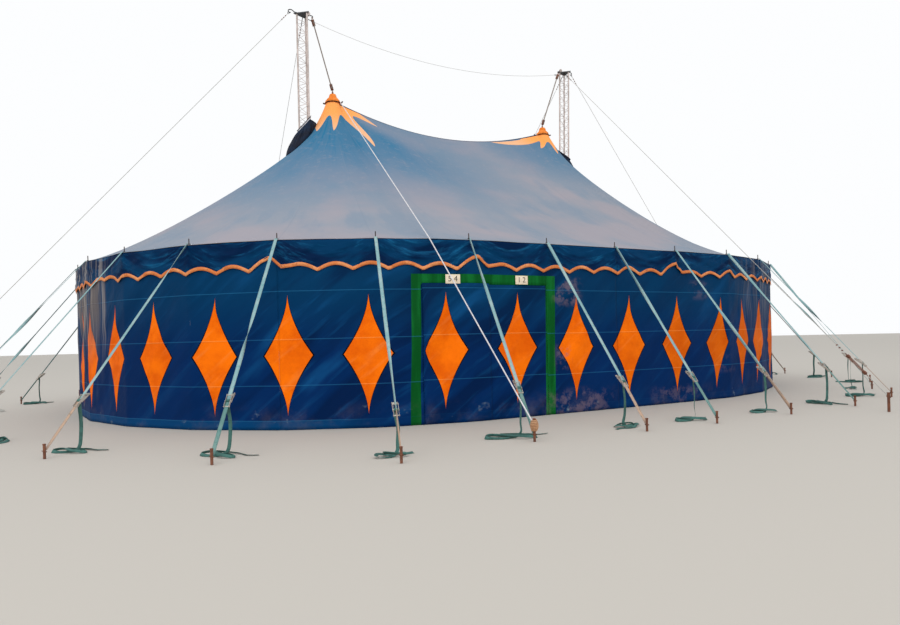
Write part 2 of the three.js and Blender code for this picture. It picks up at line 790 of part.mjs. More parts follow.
const roof = makeRoof();
place('roof_left', roofSection(roof, -2 * END_RADIUS, -CUPOLA_X), ROOF_CANVAS);
place('roof_middle', roofSection(roof, -CUPOLA_X, CUPOLA_X), ROOF_CANVAS);
place('roof_right', roofSection(roof, CUPOLA_X, 2 * END_RADIUS), ROOF_CANVAS);

const QUARTERS = ['front_right', 'back_right', 'back_left', 'front_left'];
QUARTERS.forEach((name, count) => {
  place(`valance_${name}`, valance(8 * count, 8 * count + 8), BLUE_CANVAS);
});

const STRETCHES = [
  'front_right', 'right_front', 'right_back', 'back_right',
  'back_left', 'left_back', 'left_front', 'front_left',
];
STRETCHES.forEach((name, count) => {
  const first = 4 * count;
  place(`side_poles_${name}`, sideSet(first, first + 4), WEBBING_CLOTH);
  if (name !== 'front_left') {
    place(`wall_${name}`, wallPiece(poleAt(first), poleAt(first + 4), 0, WALL_TOP), BLUE_CANVAS);
  }
});
place('wall_front_left', wallPiece(poleAt(28 - BAYS), DOOR_LEFT, 0, WALL_TOP), BLUE_CANVAS);
place('wall_beside_door', wallPiece(DOOR_RIGHT, poleAt(0), 0, WALL_TOP), BLUE_CANVAS);
place('wall_over_door', wallPiece(DOOR_LEFT, DOOR_RIGHT, DOOR_HEIGHT, WALL_TOP), BLUE_CANVAS);
place('door_curtain_left', wallPiece(DOOR_LEFT, DOOR_MIDDLE, 0, DOOR_HEIGHT - GAP), BLUE_CANVAS);
place('door_curtain_right', wallPiece(DOOR_MIDDLE, DOOR_RIGHT, 0, DOOR_HEIGHT - GAP), BLUE_CANVAS);

const underRoof = roofShell(GAP, SLEEVE_CUT);
for (const [side, name] of [[-1, 'left'], [1, 'right']]) {
  place(`cupola_ring_${name}`, cupola(side), RUSTY_STEEL);
  place(`cupola_cap_${name}`, cap(side), ORANGE_CLOTH);
  place(`mast_${name}`, mast(side), GALVANISED);
  place(`hoist_${name}`, hoist(side), STEEL_ROPE);
  place(`mast_sleeve_${name}`, sleeve(side, underRoof), DARK_CLOTH);
}
for (const [name, stay] of Object.entries(STAYS)) {
  place(name, stayCable(stay), STEEL_ROPE);
}
place('head_cable', headCable(), STEEL_ROPE);
place('roof_rope', roofRope(), WHITE_ROPE);

export default tent;
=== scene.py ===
# %% [markdown]
# # A touring circus tent
# The tent is a closed canvas hall between two lattice masts. Its loads were modelled first, as
# solids in real size: poles, masts, rings, straps, stakes and stays. This lesson dresses them:
# the canvas gets its hang, its seams and its fading, and the fittings get their small parts.
# Everything is in metres, +Z up, with the origin on the ground under the middle of the tent.

import math

import bmesh
import bpy
from mathutils import Matrix, Quaternion, Vector, noise
from mathutils.bvhtree import BVHTree


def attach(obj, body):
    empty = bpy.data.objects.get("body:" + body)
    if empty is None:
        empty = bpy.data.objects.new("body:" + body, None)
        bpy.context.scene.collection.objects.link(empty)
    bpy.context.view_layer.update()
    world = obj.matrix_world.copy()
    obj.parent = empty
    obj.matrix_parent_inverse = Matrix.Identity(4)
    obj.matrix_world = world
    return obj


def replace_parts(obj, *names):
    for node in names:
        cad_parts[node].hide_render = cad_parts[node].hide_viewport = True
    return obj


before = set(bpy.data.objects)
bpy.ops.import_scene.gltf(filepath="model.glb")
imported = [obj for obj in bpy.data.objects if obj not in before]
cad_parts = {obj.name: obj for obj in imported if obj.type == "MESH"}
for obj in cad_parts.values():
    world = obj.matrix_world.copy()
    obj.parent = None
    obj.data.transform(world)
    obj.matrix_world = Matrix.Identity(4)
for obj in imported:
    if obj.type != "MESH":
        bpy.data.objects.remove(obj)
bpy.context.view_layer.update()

# %% [markdown]
# The camera stands low in front of the left half, at a grown-up's chest, and looks a little to
# the right. A wide lens takes in the whole front. The photograph was held slightly askew, so
# the camera is rolled by a little over one degree. The lens shift puts the horizon below the
# middle of the picture while upright things stay upright.

# %% Camera
CAMERA_PLACE = Vector((-8.30, -15.68, 1.362))
CAMERA_TURN = math.radians(-27.98)
CAMERA_ROLL = 0.025
SENSOR = 36.0
FOCAL_PIXELS = 650
PICTURE_WIDTH = 900
HORIZON_DROP = 27.25
SIDE_STEP = 3.0

camera_data = bpy.data.cameras.new("camera")
camera_data.sensor_width = SENSOR
camera_data.lens = SENSOR * FOCAL_PIXELS / PICTURE_WIDTH
camera_data.shift_y = HORIZON_DROP / PICTURE_WIDTH
camera_data.shift_x = -SIDE_STEP / PICTURE_WIDTH
camera = bpy.data.objects.new("camera", camera_data)
bpy.context.scene.collection.objects.link(camera)
turn = Matrix.Rotation(CAMERA_TURN, 4, "Z") @ Matrix.Rotation(math.pi / 2, 4, "X")
camera.matrix_world = Matrix.Translation(CAMERA_PLACE) @ turn @ Matrix.Rotation(-CAMERA_ROLL, 4, "Z")
bpy.context.scene.camera = camera
print("lens", round(camera_data.lens, 1), "mm")

# %% [markdown]
# An overcast sky lights a tent from all sides, so the light here is a bright pale dome with one
# very large soft lamp high in front. The lamp is far wider than any cable is thick, so stays
# throw no hard shadow lines on the roof. A plain pale floor takes the contact shadows.

# %% Floor and light
SKY_COLOUR = (0.98, 0.99, 1.0, 1)
SKY_STRENGTH = 1.0
LAMP_PLACE = Vector((-16, -26, 24))
LAMP_SIZE = 44
LAMP_WATTS = 5600
FLOOR_HALF = 200


def link(thing):
    bpy.context.scene.collection.objects.link(thing)
    return thing


floor_mesh = bpy.data.meshes.new("floor")
floor_form = bmesh.new()
bmesh.ops.create_grid(floor_form, x_segments=1, y_segments=1, size=FLOOR_HALF)
floor_form.to_mesh(floor_mesh)
floor_form.free()
floor = link(bpy.data.objects.new("floor", floor_mesh))

world = bpy.data.worlds.new("sky")
world.use_nodes = True
world.node_tree.nodes["Background"].inputs["Color"].default_value = SKY_COLOUR
world.node_tree.nodes["Background"].inputs["Strength"].default_value = SKY_STRENGTH
bpy.context.scene.world = world

lamp_data = bpy.data.lights.new("soft_sky", "AREA")
lamp_data.size = LAMP_SIZE
lamp_data.energy = LAMP_WATTS
lamp = link(bpy.data.objects.new("soft_sky", lamp_data))
lamp.location = LAMP_PLACE
lamp.rotation_mode = "QUATERNION"
lamp.rotation_quaternion = LAMP_PLACE.to_track_quat("Z", "Y")
bpy.context.scene.view_settings.view_transform = "Standard"
print("floor and", len(bpy.data.lights), "lamp")

# %% [markdown]
# ## Where things are
# The plan is a polygon of 32 side poles on an oval: two half circles joined by two straight
# sides. Each layer of cloth runs parallel to it. A place on the tent is told by its distance
# along the plan from the middle of the front, towards the right, so a wall or valance can be
# drawn flat first and bent round the tent afterwards. The values are those of the solids.

# %% Plan of the tent
END_RADIUS = 6.4
STRAIGHT = 4.9
BAYS = 32
FIRST_POLE = 0.125
PERIMETER = 2 * STRAIGHT + 2 * math.pi * END_RADIUS
PITCH = PERIMETER / BAYS
UP = Vector((0, 0, 1))


def oval_point(distance):
    lap = PERIMETER / 2
    shifted = distance + STRAIGHT / 2
    halves = math.floor(shifted / lap)
    run = shifted - halves * lap
    side = 1 if halves % 2 == 0 else -1
    if run <= STRAIGHT:
        return Vector((run - STRAIGHT / 2, -END_RADIUS)) * side
    turn = (run - STRAIGHT) / END_RADIUS - math.pi / 2
    return Vector((STRAIGHT / 2 + END_RADIUS * math.cos(turn), END_RADIUS * math.sin(turn))) * side


def pole_at(index):
    return FIRST_POLE + index * PITCH


def side_normal(index):
    run = (oval_point(pole_at(index + 1)) - oval_point(pole_at(index))).normalized()
    return Vector((run.y, -run.x))


def mitre(index):
    before, after = side_normal(index - 1), side_normal(index)
    return (before + after) / (1 + before.dot(after))


def pole_place(index, outside=0.0):
    return oval_point(pole_at(index)) + mitre(index) * outside


def plan_point(distance, outside=0.0):
    place = (distance - FIRST_POLE) / PITCH
    index = math.floor(place + 1e-9)
    return pole_place(index, outside).lerp(pole_place(index + 1, outside), place - index)


print("perimeter", round(PERIMETER, 2), "m, bay", round(PITCH, 3), "m")

# %% [markdown]
# The roof hangs like a chain in each gore: steep under the cupola, then flatter to the eave.
# A share of the way from the ridge to the eave gives the height. The left half is a little
# tighter than the right one, as in the photograph.

# %% Heads of the gores
EAVE = 3.0
RIDGE_MIDDLE = 6.84
CUPOLA_EDGE = 7.36
CUPOLA_X = 3.2
CUPOLA_RADIUS = 0.155
RIDGE_END = CUPOLA_X - CUPOLA_RADIUS
THROAT_LEFT = 0.15
THROAT_RIGHT = 0.09
THROAT_POWER = 16
SLACK_LEFT = 1.22
SLACK_RIGHT = 1.45
RIM_FROM, RIM_TO = 2.75, 3.45


def run_along_side(distance):
    lap = PERIMETER / 2
    run = (distance + lap / 2) % PERIMETER - lap / 2
    return lap - run if run > lap / 2 else run


def gore_head(distance, edge):
    run = run_along_side(distance)
    side = 1 if run > 0 else -1
    towards_end = abs(run)
    if towards_end <= RIM_FROM:
        x = run * RIDGE_END / RIM_FROM
        return Vector((x, 0, RIDGE_MIDDLE + (CUPOLA_EDGE - RIDGE_MIDDLE) * (x / RIDGE_END) ** 2))
    centre = Vector((side * CUPOLA_X, 0))
    out = edge - centre
    angle = math.atan2(out.y, side * out.x)
    if towards_end < RIM_TO:
        share = (towards_end - RIM_FROM) / (RIM_TO - RIM_FROM)
        start = math.copysign(math.pi, out.y)
        angle = start + (angle - start) * share
    rim = centre + Vector((side * math.cos(angle), math.sin(angle))) * CUPOLA_RADIUS
    return Vector((rim.x, rim.y, CUPOLA_EDGE))


print("eave at", EAVE, "m, cupola edge at", CUPOLA_EDGE, "m")

# %% [markdown]
# Along a gore the height falls by the sum of two powers: a steep throat close under the cupola,
# and a slack fall from there to the eave.

# %% Fall along a gore
def fall(share, x):
    towards = max(-1.0, min(1.0, x / CUPOLA_X))
    rightness = (towards + 1) / 2
    throat = (THROAT_LEFT + rightness * (THROAT_RIGHT - THROAT_LEFT)) * towards ** 4
    slack = SLACK_LEFT + rightness * (SLACK_RIGHT - SLACK_LEFT)
    return throat * (1 - share) ** THROAT_POWER + (1 - throat) * (1 - share) ** slack


def roof_point(distance, share, outside=0.012):
    edge = plan_point(distance, outside)
    head = gore_head(distance, edge)
    height = EAVE + (head.z - EAVE) * fall(share, edge.x)
    flat = Vector((head.x, head.y)).lerp(edge, share)
    return Vector((flat.x, flat.y, height))


print("middle of the ridge", [round(x, 2) for x in roof_point(0, 0)])

# %% [markdown]
# Each mast stands on the long axis and leans a touch. It has three chords, one towards the left
# and two towards the right. The stakes stand in an oval round the tent, a few of them nearer or
# farther than the rest, because the crew drives them where the ground lets them.

# %% Places of the masts and stakes
MASTS = {-1: (3.93, 3.90, 9.44), 1: (3.78, 4.06, 9.36)}
MAST_SIDE = 0.26
MAST_TURN = math.radians(172)
HEAD_BELOW = 0.03
STAKE_OUT, STAKE_ASIDE = 2.45, -0.15
ODD_STAKES = {0: (2.48, -0.34), 4: (2.03, -0.28), 27: (2.57, -0.04),
              28: (2.78, 0.19), 29: (3.09, 0.09), 30: (2.31, -0.14)}
SETS = ("front_right", "right_front", "right_back", "back_right",
        "back_left", "left_back", "left_front", "front_left")
POLE_LINE = -0.036


def mast_axis(side, height):
    foot, top, tall = MASTS[side]
    return Vector((side * (foot + (top - foot) * height / tall), 0, height))


def chord_at(side, height, chord):
    turn = MAST_TURN + 2 * math.pi * chord / 3
    reach = MAST_SIDE / math.sqrt(3)
    return mast_axis(side, height) + Vector((reach * math.cos(turn), reach * math.sin(turn), 0))


def head_point(side, outwards=0.0):
    return mast_axis(side, MASTS[side][2] - HEAD_BELOW) + Vector((side * outwards, 0, 0))


def stake_place(index):
    out, aside = ODD_STAKES.get(index, (STAKE_OUT, STAKE_ASIDE))
    normal = mitre(index).normalized()
    place = oval_point(pole_at(index)) + normal * out + Vector((-normal.y, normal.x)) * aside
    return Vector((place.x, place.y, 0))


print("stake of the rope's pole", [round(x, 2) for x in stake_place(30)])

# %% [markdown]
# ## Helpers for materials
# Colours are read off the photograph as sRGB hex values, and Blender works in linear light, so
# one function turns them. A second one adds a shader node with its settings and wires its inputs,
# because a procedural finish is a chain of small steps: a noise, a ramp, a mix. Sockets are given
# in their order, or by name or number. A smooth Map Range takes a value, the two limits that it
# comes from and the two that it goes to. A colour Mix takes a share in socket 0 and its colours
# in sockets 6 and 7.

# %% Colour and node helpers
# the settings of a smooth Map Range and of a Mix of two colours
SMOOTH, COLOUR = {"interpolation_type": "SMOOTHSTEP"}, {"data_type": "RGBA"}


def linear(code):
    parts = [int(code[i:i + 2], 16) / 255 for i in (1, 3, 5)]
    return [c / 12.92 if c <= 0.04045 else ((c + 0.055) / 1.055) ** 2.4 for c in parts] + [1.0]


def add(tree, kind, sockets, **settings):
    made = tree.nodes.new("ShaderNode" + kind)
    for name, value in settings.items():
        setattr(made, name, value)
    named = sockets.items() if isinstance(sockets, dict) else enumerate(sockets)
    for name, value in named:
        if isinstance(value, bpy.types.Node):
            value = value.outputs[0]
        if isinstance(value, bpy.types.NodeSocket):
            tree.links.new(value, made.inputs[name])
        else:
            made.inputs[name].default_value = value
    return made


print("green of the door band in linear light:", [round(c, 3) for c in linear("#06501E")[:3]])

# %% [markdown]
# Some chains of nodes come back in every finish. One tells how far two values are apart, and one
# whether a value is inside a range. A noise that is drawn out changes slowly in one direction, as
# streaks and folds do. The last one goes from one colour to another where a value passes from a
# low limit to a high one.

# %% Chains of nodes
def apart(tree, first, second):
    off = add(tree, "Math", (first, second), operation="SUBTRACT")
    return add(tree, "Math", {0: off}, operation="ABSOLUTE")


def drawn_out(tree, place, sizes, detail, rough):
    mapped = add(tree, "Mapping", {"Vector": place, "Scale": sizes})
    return add(tree, "TexNoise", {"Vector": mapped, "Scale": 1.0, "Detail": detail, "Roughness": rough})


def shade_where(tree, value, limits, under, over):
    share = add(tree, "MapRange", (value, *limits), **SMOOTH)
    return add(tree, "Mix", {0: share, 6: under, 7: over}, **COLOUR).outputs[2]


def within(tree, value, low, high):
    above = add(tree, "Math", (value, low), operation="GREATER_THAN")
    return add(tree, "Math", (
        above, add(tree, "Math", (value, high), operation="LESS_THAN"),
    ), operation="MULTIPLY")


def finish(name, roughness=0.6, metallic=0.0, specular=0.5):
    material = bpy.data.materials.new(name)
    material.use_nodes = True
    shader = material.node_tree.nodes["Principled BSDF"]
    shader.inputs["Roughness"].default_value = roughness
    shader.inputs["Metallic"].default_value = metallic
    shader.inputs["Specular IOR Level"].default_value = specular
    return material, material.node_tree, shader


def paint(tree, shader, colour, rough=None, height=None, depth=0.002):
    tree.links.new(colour, shader.inputs["Base Color"])
    if rough is not None:
        tree.links.new(rough.outputs[0], shader.inputs["Roughness"])
    if height is not None:
        bump = add(tree, "Bump", {"Height": height, "Distance": depth, "Strength": 1.0})
        tree.links.new(bump.outputs[0], shader.inputs["Normal"])


print("helpers for finishes ready")

# %% [markdown]
# ## Floor finish
# The floor only has to be plain and pale. A warm light grey keeps the blue canvas true.

# %% Floor finish
floor_finish, tree, shader = finish("pale_floor", 0.9)
shader.inputs["Base Color"].default_value = linear("#B9B4AC")
floor.data.materials.append(floor_finish)
print("floor finish ready")

# %% [markdown]
# ## Flame stars
# Round each cupola an orange star of curved flames is sewn on. It is drawn by two measures: the
# plan angle round the cupola, and the distance from the cupola's edge in space. All flames curl
# to the left as seen from the front, so the angle is first turned back in step with the
# distance. Then a curve that runs from tip to valley to tip tells how far the orange reaches at
# each angle. The front and the back are each other's mirror image: the curve covers half a turn.

# %% Flame stars
STAR_REACH = 2.5
POINTED_FROM = 0.75
FLAME_CURL = math.radians(13)
CURL_FROM = 0.5
# degrees of half a turn from the ridge side outwards, and how far the orange reaches there, in metres
LEFT_FLAMES = ((0, 0.70), (8.4, 1.24), (24, 0.60), (49.5, 2.12), (72, 0.53),
               (99, 1.15), (123, 0.57), (138.6, 1.10), (160, 0.88), (180, 1.3))
RIGHT_FLAMES = ((0, 0.62), (9, 0.90), (19, 1.88), (33, 0.42), (52, 0.78), (82, 0.45), (104, 0.95),
                (128, 0.55), (150, 1.1), (165, 0.55), (180, 0.95))


def flame_reach(tree, turn, flames):
    edge = add(tree, "FloatCurve", {1: turn})
    curve = edge.mapping.curves[0]
    for degrees, reach in flames[1:-1]:
        curve.points.new(degrees / 180, reach / STAR_REACH)
    for point, (degrees, reach) in zip((curve.points[0], curve.points[-1]), (flames[0], flames[-1])):
        point.location = (degrees / 180, reach / STAR_REACH)
    tips = {round(degrees / 180, 4) for degrees, reach in flames if reach > POINTED_FROM}
    for point in curve.points:
        point.handle_type = "VECTOR" if round(point.location[0], 4) in tips else "AUTO"
    edge.mapping.update()
    return add(tree, "Math", (edge, STAR_REACH), operation="MULTIPLY")


def flame_star(tree, place, side, flames):
    parts = add(tree, "SeparateXYZ", {0: place})
    outwards = add(tree, "Math", (parts.outputs[0], side, -CUPOLA_X), operation="MULTIPLY_ADD")
    aside = add(tree, "Math", {0: parts.outputs[1]}, operation="ABSOLUTE")
    inwards = add(tree, "Math", (outwards, -1.0), operation="MULTIPLY")
    drop = add(tree, "Math", (CUPOLA_EDGE, parts.outputs[2]), operation="SUBTRACT")
    offset = add(tree, "CombineXYZ", {0: outwards, 1: aside, 2: drop})
    reach = add(tree, "VectorMath", {0: offset}, operation="LENGTH").outputs["Value"]
    angle = add(tree, "Math", (aside, inwards), operation="ARCTAN2")
    curl = add(tree, "Math", (
        add(tree, "Math", (reach, CURL_FROM), operation="SUBTRACT"), -side * FLAME_CURL,
    ), operation="MULTIPLY")
    turn = add(tree, "Math", (
        add(tree, "Math", (angle, curl), operation="SUBTRACT"), math.pi,
    ), operation="DIVIDE")
    turn = add(tree, "Math", (turn, 1.0), operation="PINGPONG")
    return add(tree, "Math", (reach, flame_reach(tree, turn, flames)), operation="LESS_THAN"), reach


print("flames seen from one side:", len(LEFT_FLAMES) // 2 + len(RIGHT_FLAMES) // 2)

# %% [markdown]
# ## Canvas of the roof
# The roof was blue and has bleached to a violet grey. The blue is left round the peaks, most of
# all round the left one, and in faint clouds and streaks where the cloth stays wet. Dark webbing
# is sewn along the ridge. The cloth's own UV map gives metres along the eave and metres down the
# slope, so the streaks follow the hang. The canvas is coated polyester: matt, with a mottling of
# about 25 mm where the coating is worn off the weave. The threads, 0.5 mm apart, are too fine to
# show, so no weave is drawn on the roof.

# %% Colours of the roof
ROOF_GREY = linear("#8B919C")
ROOF_WARM = linear("#9A959C")
ROOF_BLUE = linear("#1E6C92")
ROOF_SEAM = linear("#7B8494")
RIDGE_WEBBING = linear("#27354C")
STAR_ORANGE = linear("#FFA04E")
STAR_PEACH = linear("#E6B088")
STAR_FLECK = linear("#FFBE84")
RIDGE_HALF_WIDTH = 0.028
# metres from each cupola within which the cloth is blue, and where the blue has gone
BLUE_LEFT = (1.2, 6.8)
BLUE_RIGHT = (0.5, 4.0)
BLUE_MOST_RIGHT = 0.75
# the blue is strongest on the front and the back of the left peak, and weaker towards its sides
OFF_FRONT = (0.45, 0.90)
BLUE_ON_SIDES = 0.55
print("blue reaches", BLUE_LEFT[1], "m from the left cupola,", BLUE_RIGHT[1], "m from the right one")

# %% [markdown]
# First come the places and the noises. A noise on the object's own coordinates gives clouds, and
# one on the cloth's UV map gives streaks down the slope. The two stars are measured here too.

# %% Noises and stars of the roof
roof_finish, tree, shader = finish("faded_roof_canvas", 0.8, specular=0.1)
uv = add(tree, "UVMap", {}, uv_map="UVMap").outputs[0]
place = add(tree, "TexCoord", {}).outputs["Object"]
down_roof = add(tree, "SeparateXYZ", {0: uv})
along = down_roof.outputs[0]
spots = add(tree, "SeparateXYZ", {0: place})
cloud = add(tree, "TexNoise", {"Vector": place, "Scale": 0.5, "Detail": 3.0, "Roughness": 0.5})
# there and back again along the eave, so that the pattern closes where the UV map begins and ends
both_ways = add(tree, "Math", (
    add(tree, "Math", (along, FIRST_POLE), operation="SUBTRACT"), PERIMETER / 2,
), operation="PINGPONG")
from_left_to_right = add(tree, "Math", (spots.outputs[0], 0.4), operation="MULTIPLY")
hang = add(tree, "CombineXYZ", {0: both_ways, 1: down_roof.outputs[1], 2: from_left_to_right})
drift = drawn_out(tree, hang, (2.2, 0.55, 1.0), 5.0, 0.6)
fleck = add(tree, "TexNoise", {"Vector": place, "Scale": 7.0, "Detail": 4.0, "Roughness": 0.7})
fine = add(tree, "TexNoise", {"Vector": uv, "Scale": 40.0, "Detail": 3.0, "Roughness": 0.7})
star_left, reach_left = flame_star(tree, place, -1, LEFT_FLAMES)
star_right, reach_right = flame_star(tree, place, 1, RIGHT_FLAMES)
star = add(tree, "Math", (star_left, star_right), operation="MAXIMUM")
reach = add(tree, "Math", (reach_left, reach_right), operation="MINIMUM")
print("noises and stars need", len(tree.nodes), "nodes")

# %% [markdown]
# Next comes the bleached grey, and the blue that is left in it: near the peaks, and in faint
# streaks where the cloth stays wet.

# %% Bleached and blue cloth
grey = shade_where(tree, cloud, (0.40, 0.62), ROOF_GREY, ROOF_WARM)
aside = add(tree, "Math", {
    0: add(tree, "Math", (spots.outputs[0], CUPOLA_X), operation="ADD"),
}, operation="ABSOLUTE")
off_front = add(tree, "Math", (
    aside, add(tree, "Math", (reach_left, 0.3), operation="MAXIMUM"),
), operation="DIVIDE")
near_left = add(tree, "MapRange", (reach_left, BLUE_LEFT[0], BLUE_LEFT[1], 1.0, 0.0), **SMOOTH)
near_left = add(tree, "Math", (
    near_left, add(tree, "MapRange", (off_front, OFF_FRONT[0], OFF_FRONT[1], 1.0, BLUE_ON_SIDES), **SMOOTH),
), operation="MULTIPLY")
near_right = add(tree, "MapRange", (
    reach_right, BLUE_RIGHT[0], BLUE_RIGHT[1], BLUE_MOST_RIGHT, 0.0,
), **SMOOTH)
near_peak = add(tree, "Math", (near_left, near_right), operation="MAXIMUM")
wet = add(tree, "Math", (
    add(tree, "Math", (drift, 0.6), operation="MULTIPLY"),
    add(tree, "Math", (cloud, 0.4), operation="MULTIPLY"),
), operation="ADD")
stays_wet = add(tree, "MapRange", (wet, 0.58, 0.42, 0.88, 1.0), **SMOOTH)
low_blue = add(tree, "MapRange", (wet, 0.52, 0.38, 0.04, 0.20), **SMOOTH)
blue_share = add(tree, "Math", (
    add(tree, "Math", (near_peak, stays_wet), operation="MULTIPLY"), low_blue,
), operation="MAXIMUM")
cloth = add(tree, "Mix", {0: blue_share, 6: grey, 7: ROOF_BLUE}, **COLOUR).outputs[2]
cloth = shade_where(tree, fleck, (0.52, 0.70, 0.0, 0.22), cloth, ROOF_WARM)
print("with the bleached cloth,", len(tree.nodes), "nodes")

# %% [markdown]
# Last come the seams between the gores, the stars and the webbing on the ridge. Each is a second
# layer of cloth, so it also stands up a little.

# %% Seams, stars and webbing
seam_run = add(tree, "Math", (
    add(tree, "Math", (along, FIRST_POLE), operation="SUBTRACT"), PITCH / 2,
), operation="PINGPONG")
seam = add(tree, "MapRange", (seam_run, 0.006, 0.022, 0.22, 0.0), **SMOOTH)
cloth = add(tree, "Mix", {0: seam, 6: cloth, 7: ROOF_SEAM}, **COLOUR).outputs[2]
star_cloth = shade_where(tree, reach, (0.4, 1.2), STAR_ORANGE, STAR_PEACH)
star_cloth = shade_where(tree, fine, (0.35, 0.7, 0.0, 0.35), star_cloth, STAR_FLECK)
cloth = add(tree, "Mix", {0: star, 6: cloth, 7: star_cloth}, **COLOUR).outputs[2]
on_ridge = add(tree, "Math", (
    add(tree, "Math", {0: spots.outputs[1]}, operation="ABSOLUTE"), RIDGE_HALF_WIDTH,
), operation="LESS_THAN")
mid_ridge = add(tree, "Math", (
    add(tree, "Math", {0: spots.outputs[0]}, operation="ABSOLUTE"), RIDGE_END,
), operation="LESS_THAN")
webbing = add(tree, "Math", (on_ridge, mid_ridge), operation="MULTIPLY")
cloth = add(tree, "Mix", {0: webbing, 6: cloth, 7: RIDGE_WEBBING}, **COLOUR).outputs[2]
relief = add(tree, "Math", (
    drift, 0.3, add(tree, "Math", (fine, 0.12), operation="MULTIPLY"),
), operation="MULTIPLY_ADD")
relief = add(tree, "Math", (seam, 0.6, relief), operation="MULTIPLY_ADD")
relief = add(tree, "Math", (star, 0.4, relief), operation="MULTIPLY_ADD")
relief = add(tree, "Math", (webbing, 0.5, relief), operation="MULTIPLY_ADD")
paint(tree, shader, cloth, add(tree, "MapRange", (drift, 0.3, 0.7, 0.72, 0.9), **SMOOTH), relief, 0.006)
print("roof finish has", len(tree.nodes), "nodes")

# %% [markdown]
# ## Patterns of the wall
# Tall orange diamonds are sewn on the wall with a dark edge: their sides bow inwards, so the half
# width falls off with a power of the height. The wall's UV map holds metres along the tent and
# metres above the ground, and the diamonds repeat every 1.25 metres along it. The door is marked
# by a green band. Weld lines run level round the wall, and the lowest strip is a ground flap.
# Each of these is a small sum on the two UV numbers, so its edge is sharp at any distance.

# %% Patterns of the wall
DIAMOND_STEP = PERIMETER / 40
DIAMOND_FIRST = 0.43
DIAMOND_MIDDLE = 1.175
DIAMOND_HALF_HEIGHT = 0.965
DIAMOND_HALF_WIDTH = 0.385
DIAMOND_BOW = 1.75
WELDS = (0.145, 0.70, 1.43, 2.19)
# left, right and top of the green band, outside and inside
BAND_OUTER = (-3.99, -1.29, 2.44)
BAND_INNER = (-3.83, -1.49, 2.27)


def diamond(tree, along, height, spread):
    shifted = add(tree, "Math", (along, DIAMOND_FIRST), operation="SUBTRACT")
    aside = add(tree, "Math", (shifted, DIAMOND_STEP / 2), operation="PINGPONG")
    above = apart(tree, height, DIAMOND_MIDDLE)
    left = add(tree, "Math", (
        1.0, add(tree, "Math", (above, DIAMOND_HALF_HEIGHT + spread), operation="DIVIDE"),
    ), operation="SUBTRACT")
    half = add(tree, "Math", (
        add(tree, "Math", (left, 0.0), operation="MAXIMUM"), DIAMOND_BOW,
    ), operation="POWER")
    return add(tree, "Math", (
        aside, add(tree, "Math", (half, DIAMOND_HALF_WIDTH + spread), operation="MULTIPLY"),
    ), operation="LESS_THAN")


def doorway(tree, along, height, limits):
    left, right, top = limits
    return add(tree, "Math", (
        within(tree, along, left, right), add(tree, "Math", (height, top), operation="LESS_THAN"),
    ), operation="MULTIPLY")


def patch_mask(tree, along, height, centre, half_width, low, high):
    aside = apart(tree, along, centre)
    across = add(tree, "MapRange", (aside, half_width * 0.3, half_width, 1.0, 0.0), **SMOOTH)
    above = apart(tree, height, (low + high) / 2)
    upright = add(tree, "MapRange", (above, (high - low) * 0.2, (high - low) * 0.5, 1.0, 0.0), **SMOOTH)
    return add(tree, "Math", (across, upright), operation="MULTIPLY")


print("diamonds round the tent:", round(PERIMETER / DIAMOND_STEP))

# %% [markdown]
# ## Blue canvas of the walls and the valance
# The walls and the valance are coated polyester, deep blue and satin rather than shiny. The
# light and shade of their folds is painted into the colour as darker and paler blue, and the
# wall turns paler and more teal towards the top.

# %% Colours of the blue canvas
CANVAS_HIGH = linear("#00355C")
CANVAS_LOW = linear("#00285A")
# painted shade of the folds, and a painted highlight on them
FOLD_SHADE_BLUE = linear("#00153A")
FOLD_HIGHLIGHT_BLUE = linear("#0E5288")
# painted highlight along the raised weld lines
WELD_HIGHLIGHT_BLUE = linear("#2A78A8")
# painted highlight on the valance's creases
VALANCE_PAINTED_HIGHLIGHT = linear("#1A6C9C")
FLAP_BLUE = linear("#044474")
DIAMOND_ORANGE = linear("#FF7604")
DIAMOND_WORN = linear("#E45E04")
DIAMOND_DULL = linear("#B85204")
# painted highlight on the diamonds, along creases and weld lines
DIAMOND_HIGHLIGHT = linear("#FFA858")
DIAMOND_EDGE = linear("#04060E")
BAND_GREEN = linear("#06501E")
BAND_LIGHT = linear("#10682C")
DUST = linear("#6E6468")
STAIN = linear("#7E6A74")
SMUDGE = linear("#8FA0A8")
END_GREY = linear("#6E6664")
END_PALE = linear("#A39C98")
print("deep blue in linear light:", [round(c, 3) for c in CANVAS_LOW[:3]])

# %% [markdown]
# At the tent's two ends the rain runs off the roof and has washed the cloth pale in upright
# streaks. Four distances along the plan tell where that starts, is full, starts to fade and ends.

# %% Washed ends
LEFT_END = (-17.0, -15.4, -10.6, -9.5)
RIGHT_END = (3.4, 4.6, 8.5, 9.5)
RIGHT_ON_WALL, RIGHT_ON_VALANCE = 0.22, 0.25


def end_share(tree, along, limits):
    rising = add(tree, "MapRange", (along, limits[0], limits[1]), **SMOOTH)
    falling = add(tree, "MapRange", (along, limits[2], limits[3], 1.0, 0.0), **SMOOTH)
    return add(tree, "Math", (rising, falling), operation="MULTIPLY")


def ends_share(tree, along, right_strength):
    right = add(tree, "Math", (end_share(tree, along, RIGHT_END), right_strength), operation="MULTIPLY")
    return add(tree, "Math", (end_share(tree, along, LEFT_END), right), operation="MAXIMUM")


def streaks(tree, uv, step, low, high):
    return add(tree, "MapRange", (drawn_out(tree, uv, (step, 0.3, 1.0), 3.0, 0.5), low, high), **SMOOTH)


print("washed ends:", [round(end[3] - end[0], 1) for end in (LEFT_END, RIGHT_END)], "m long")

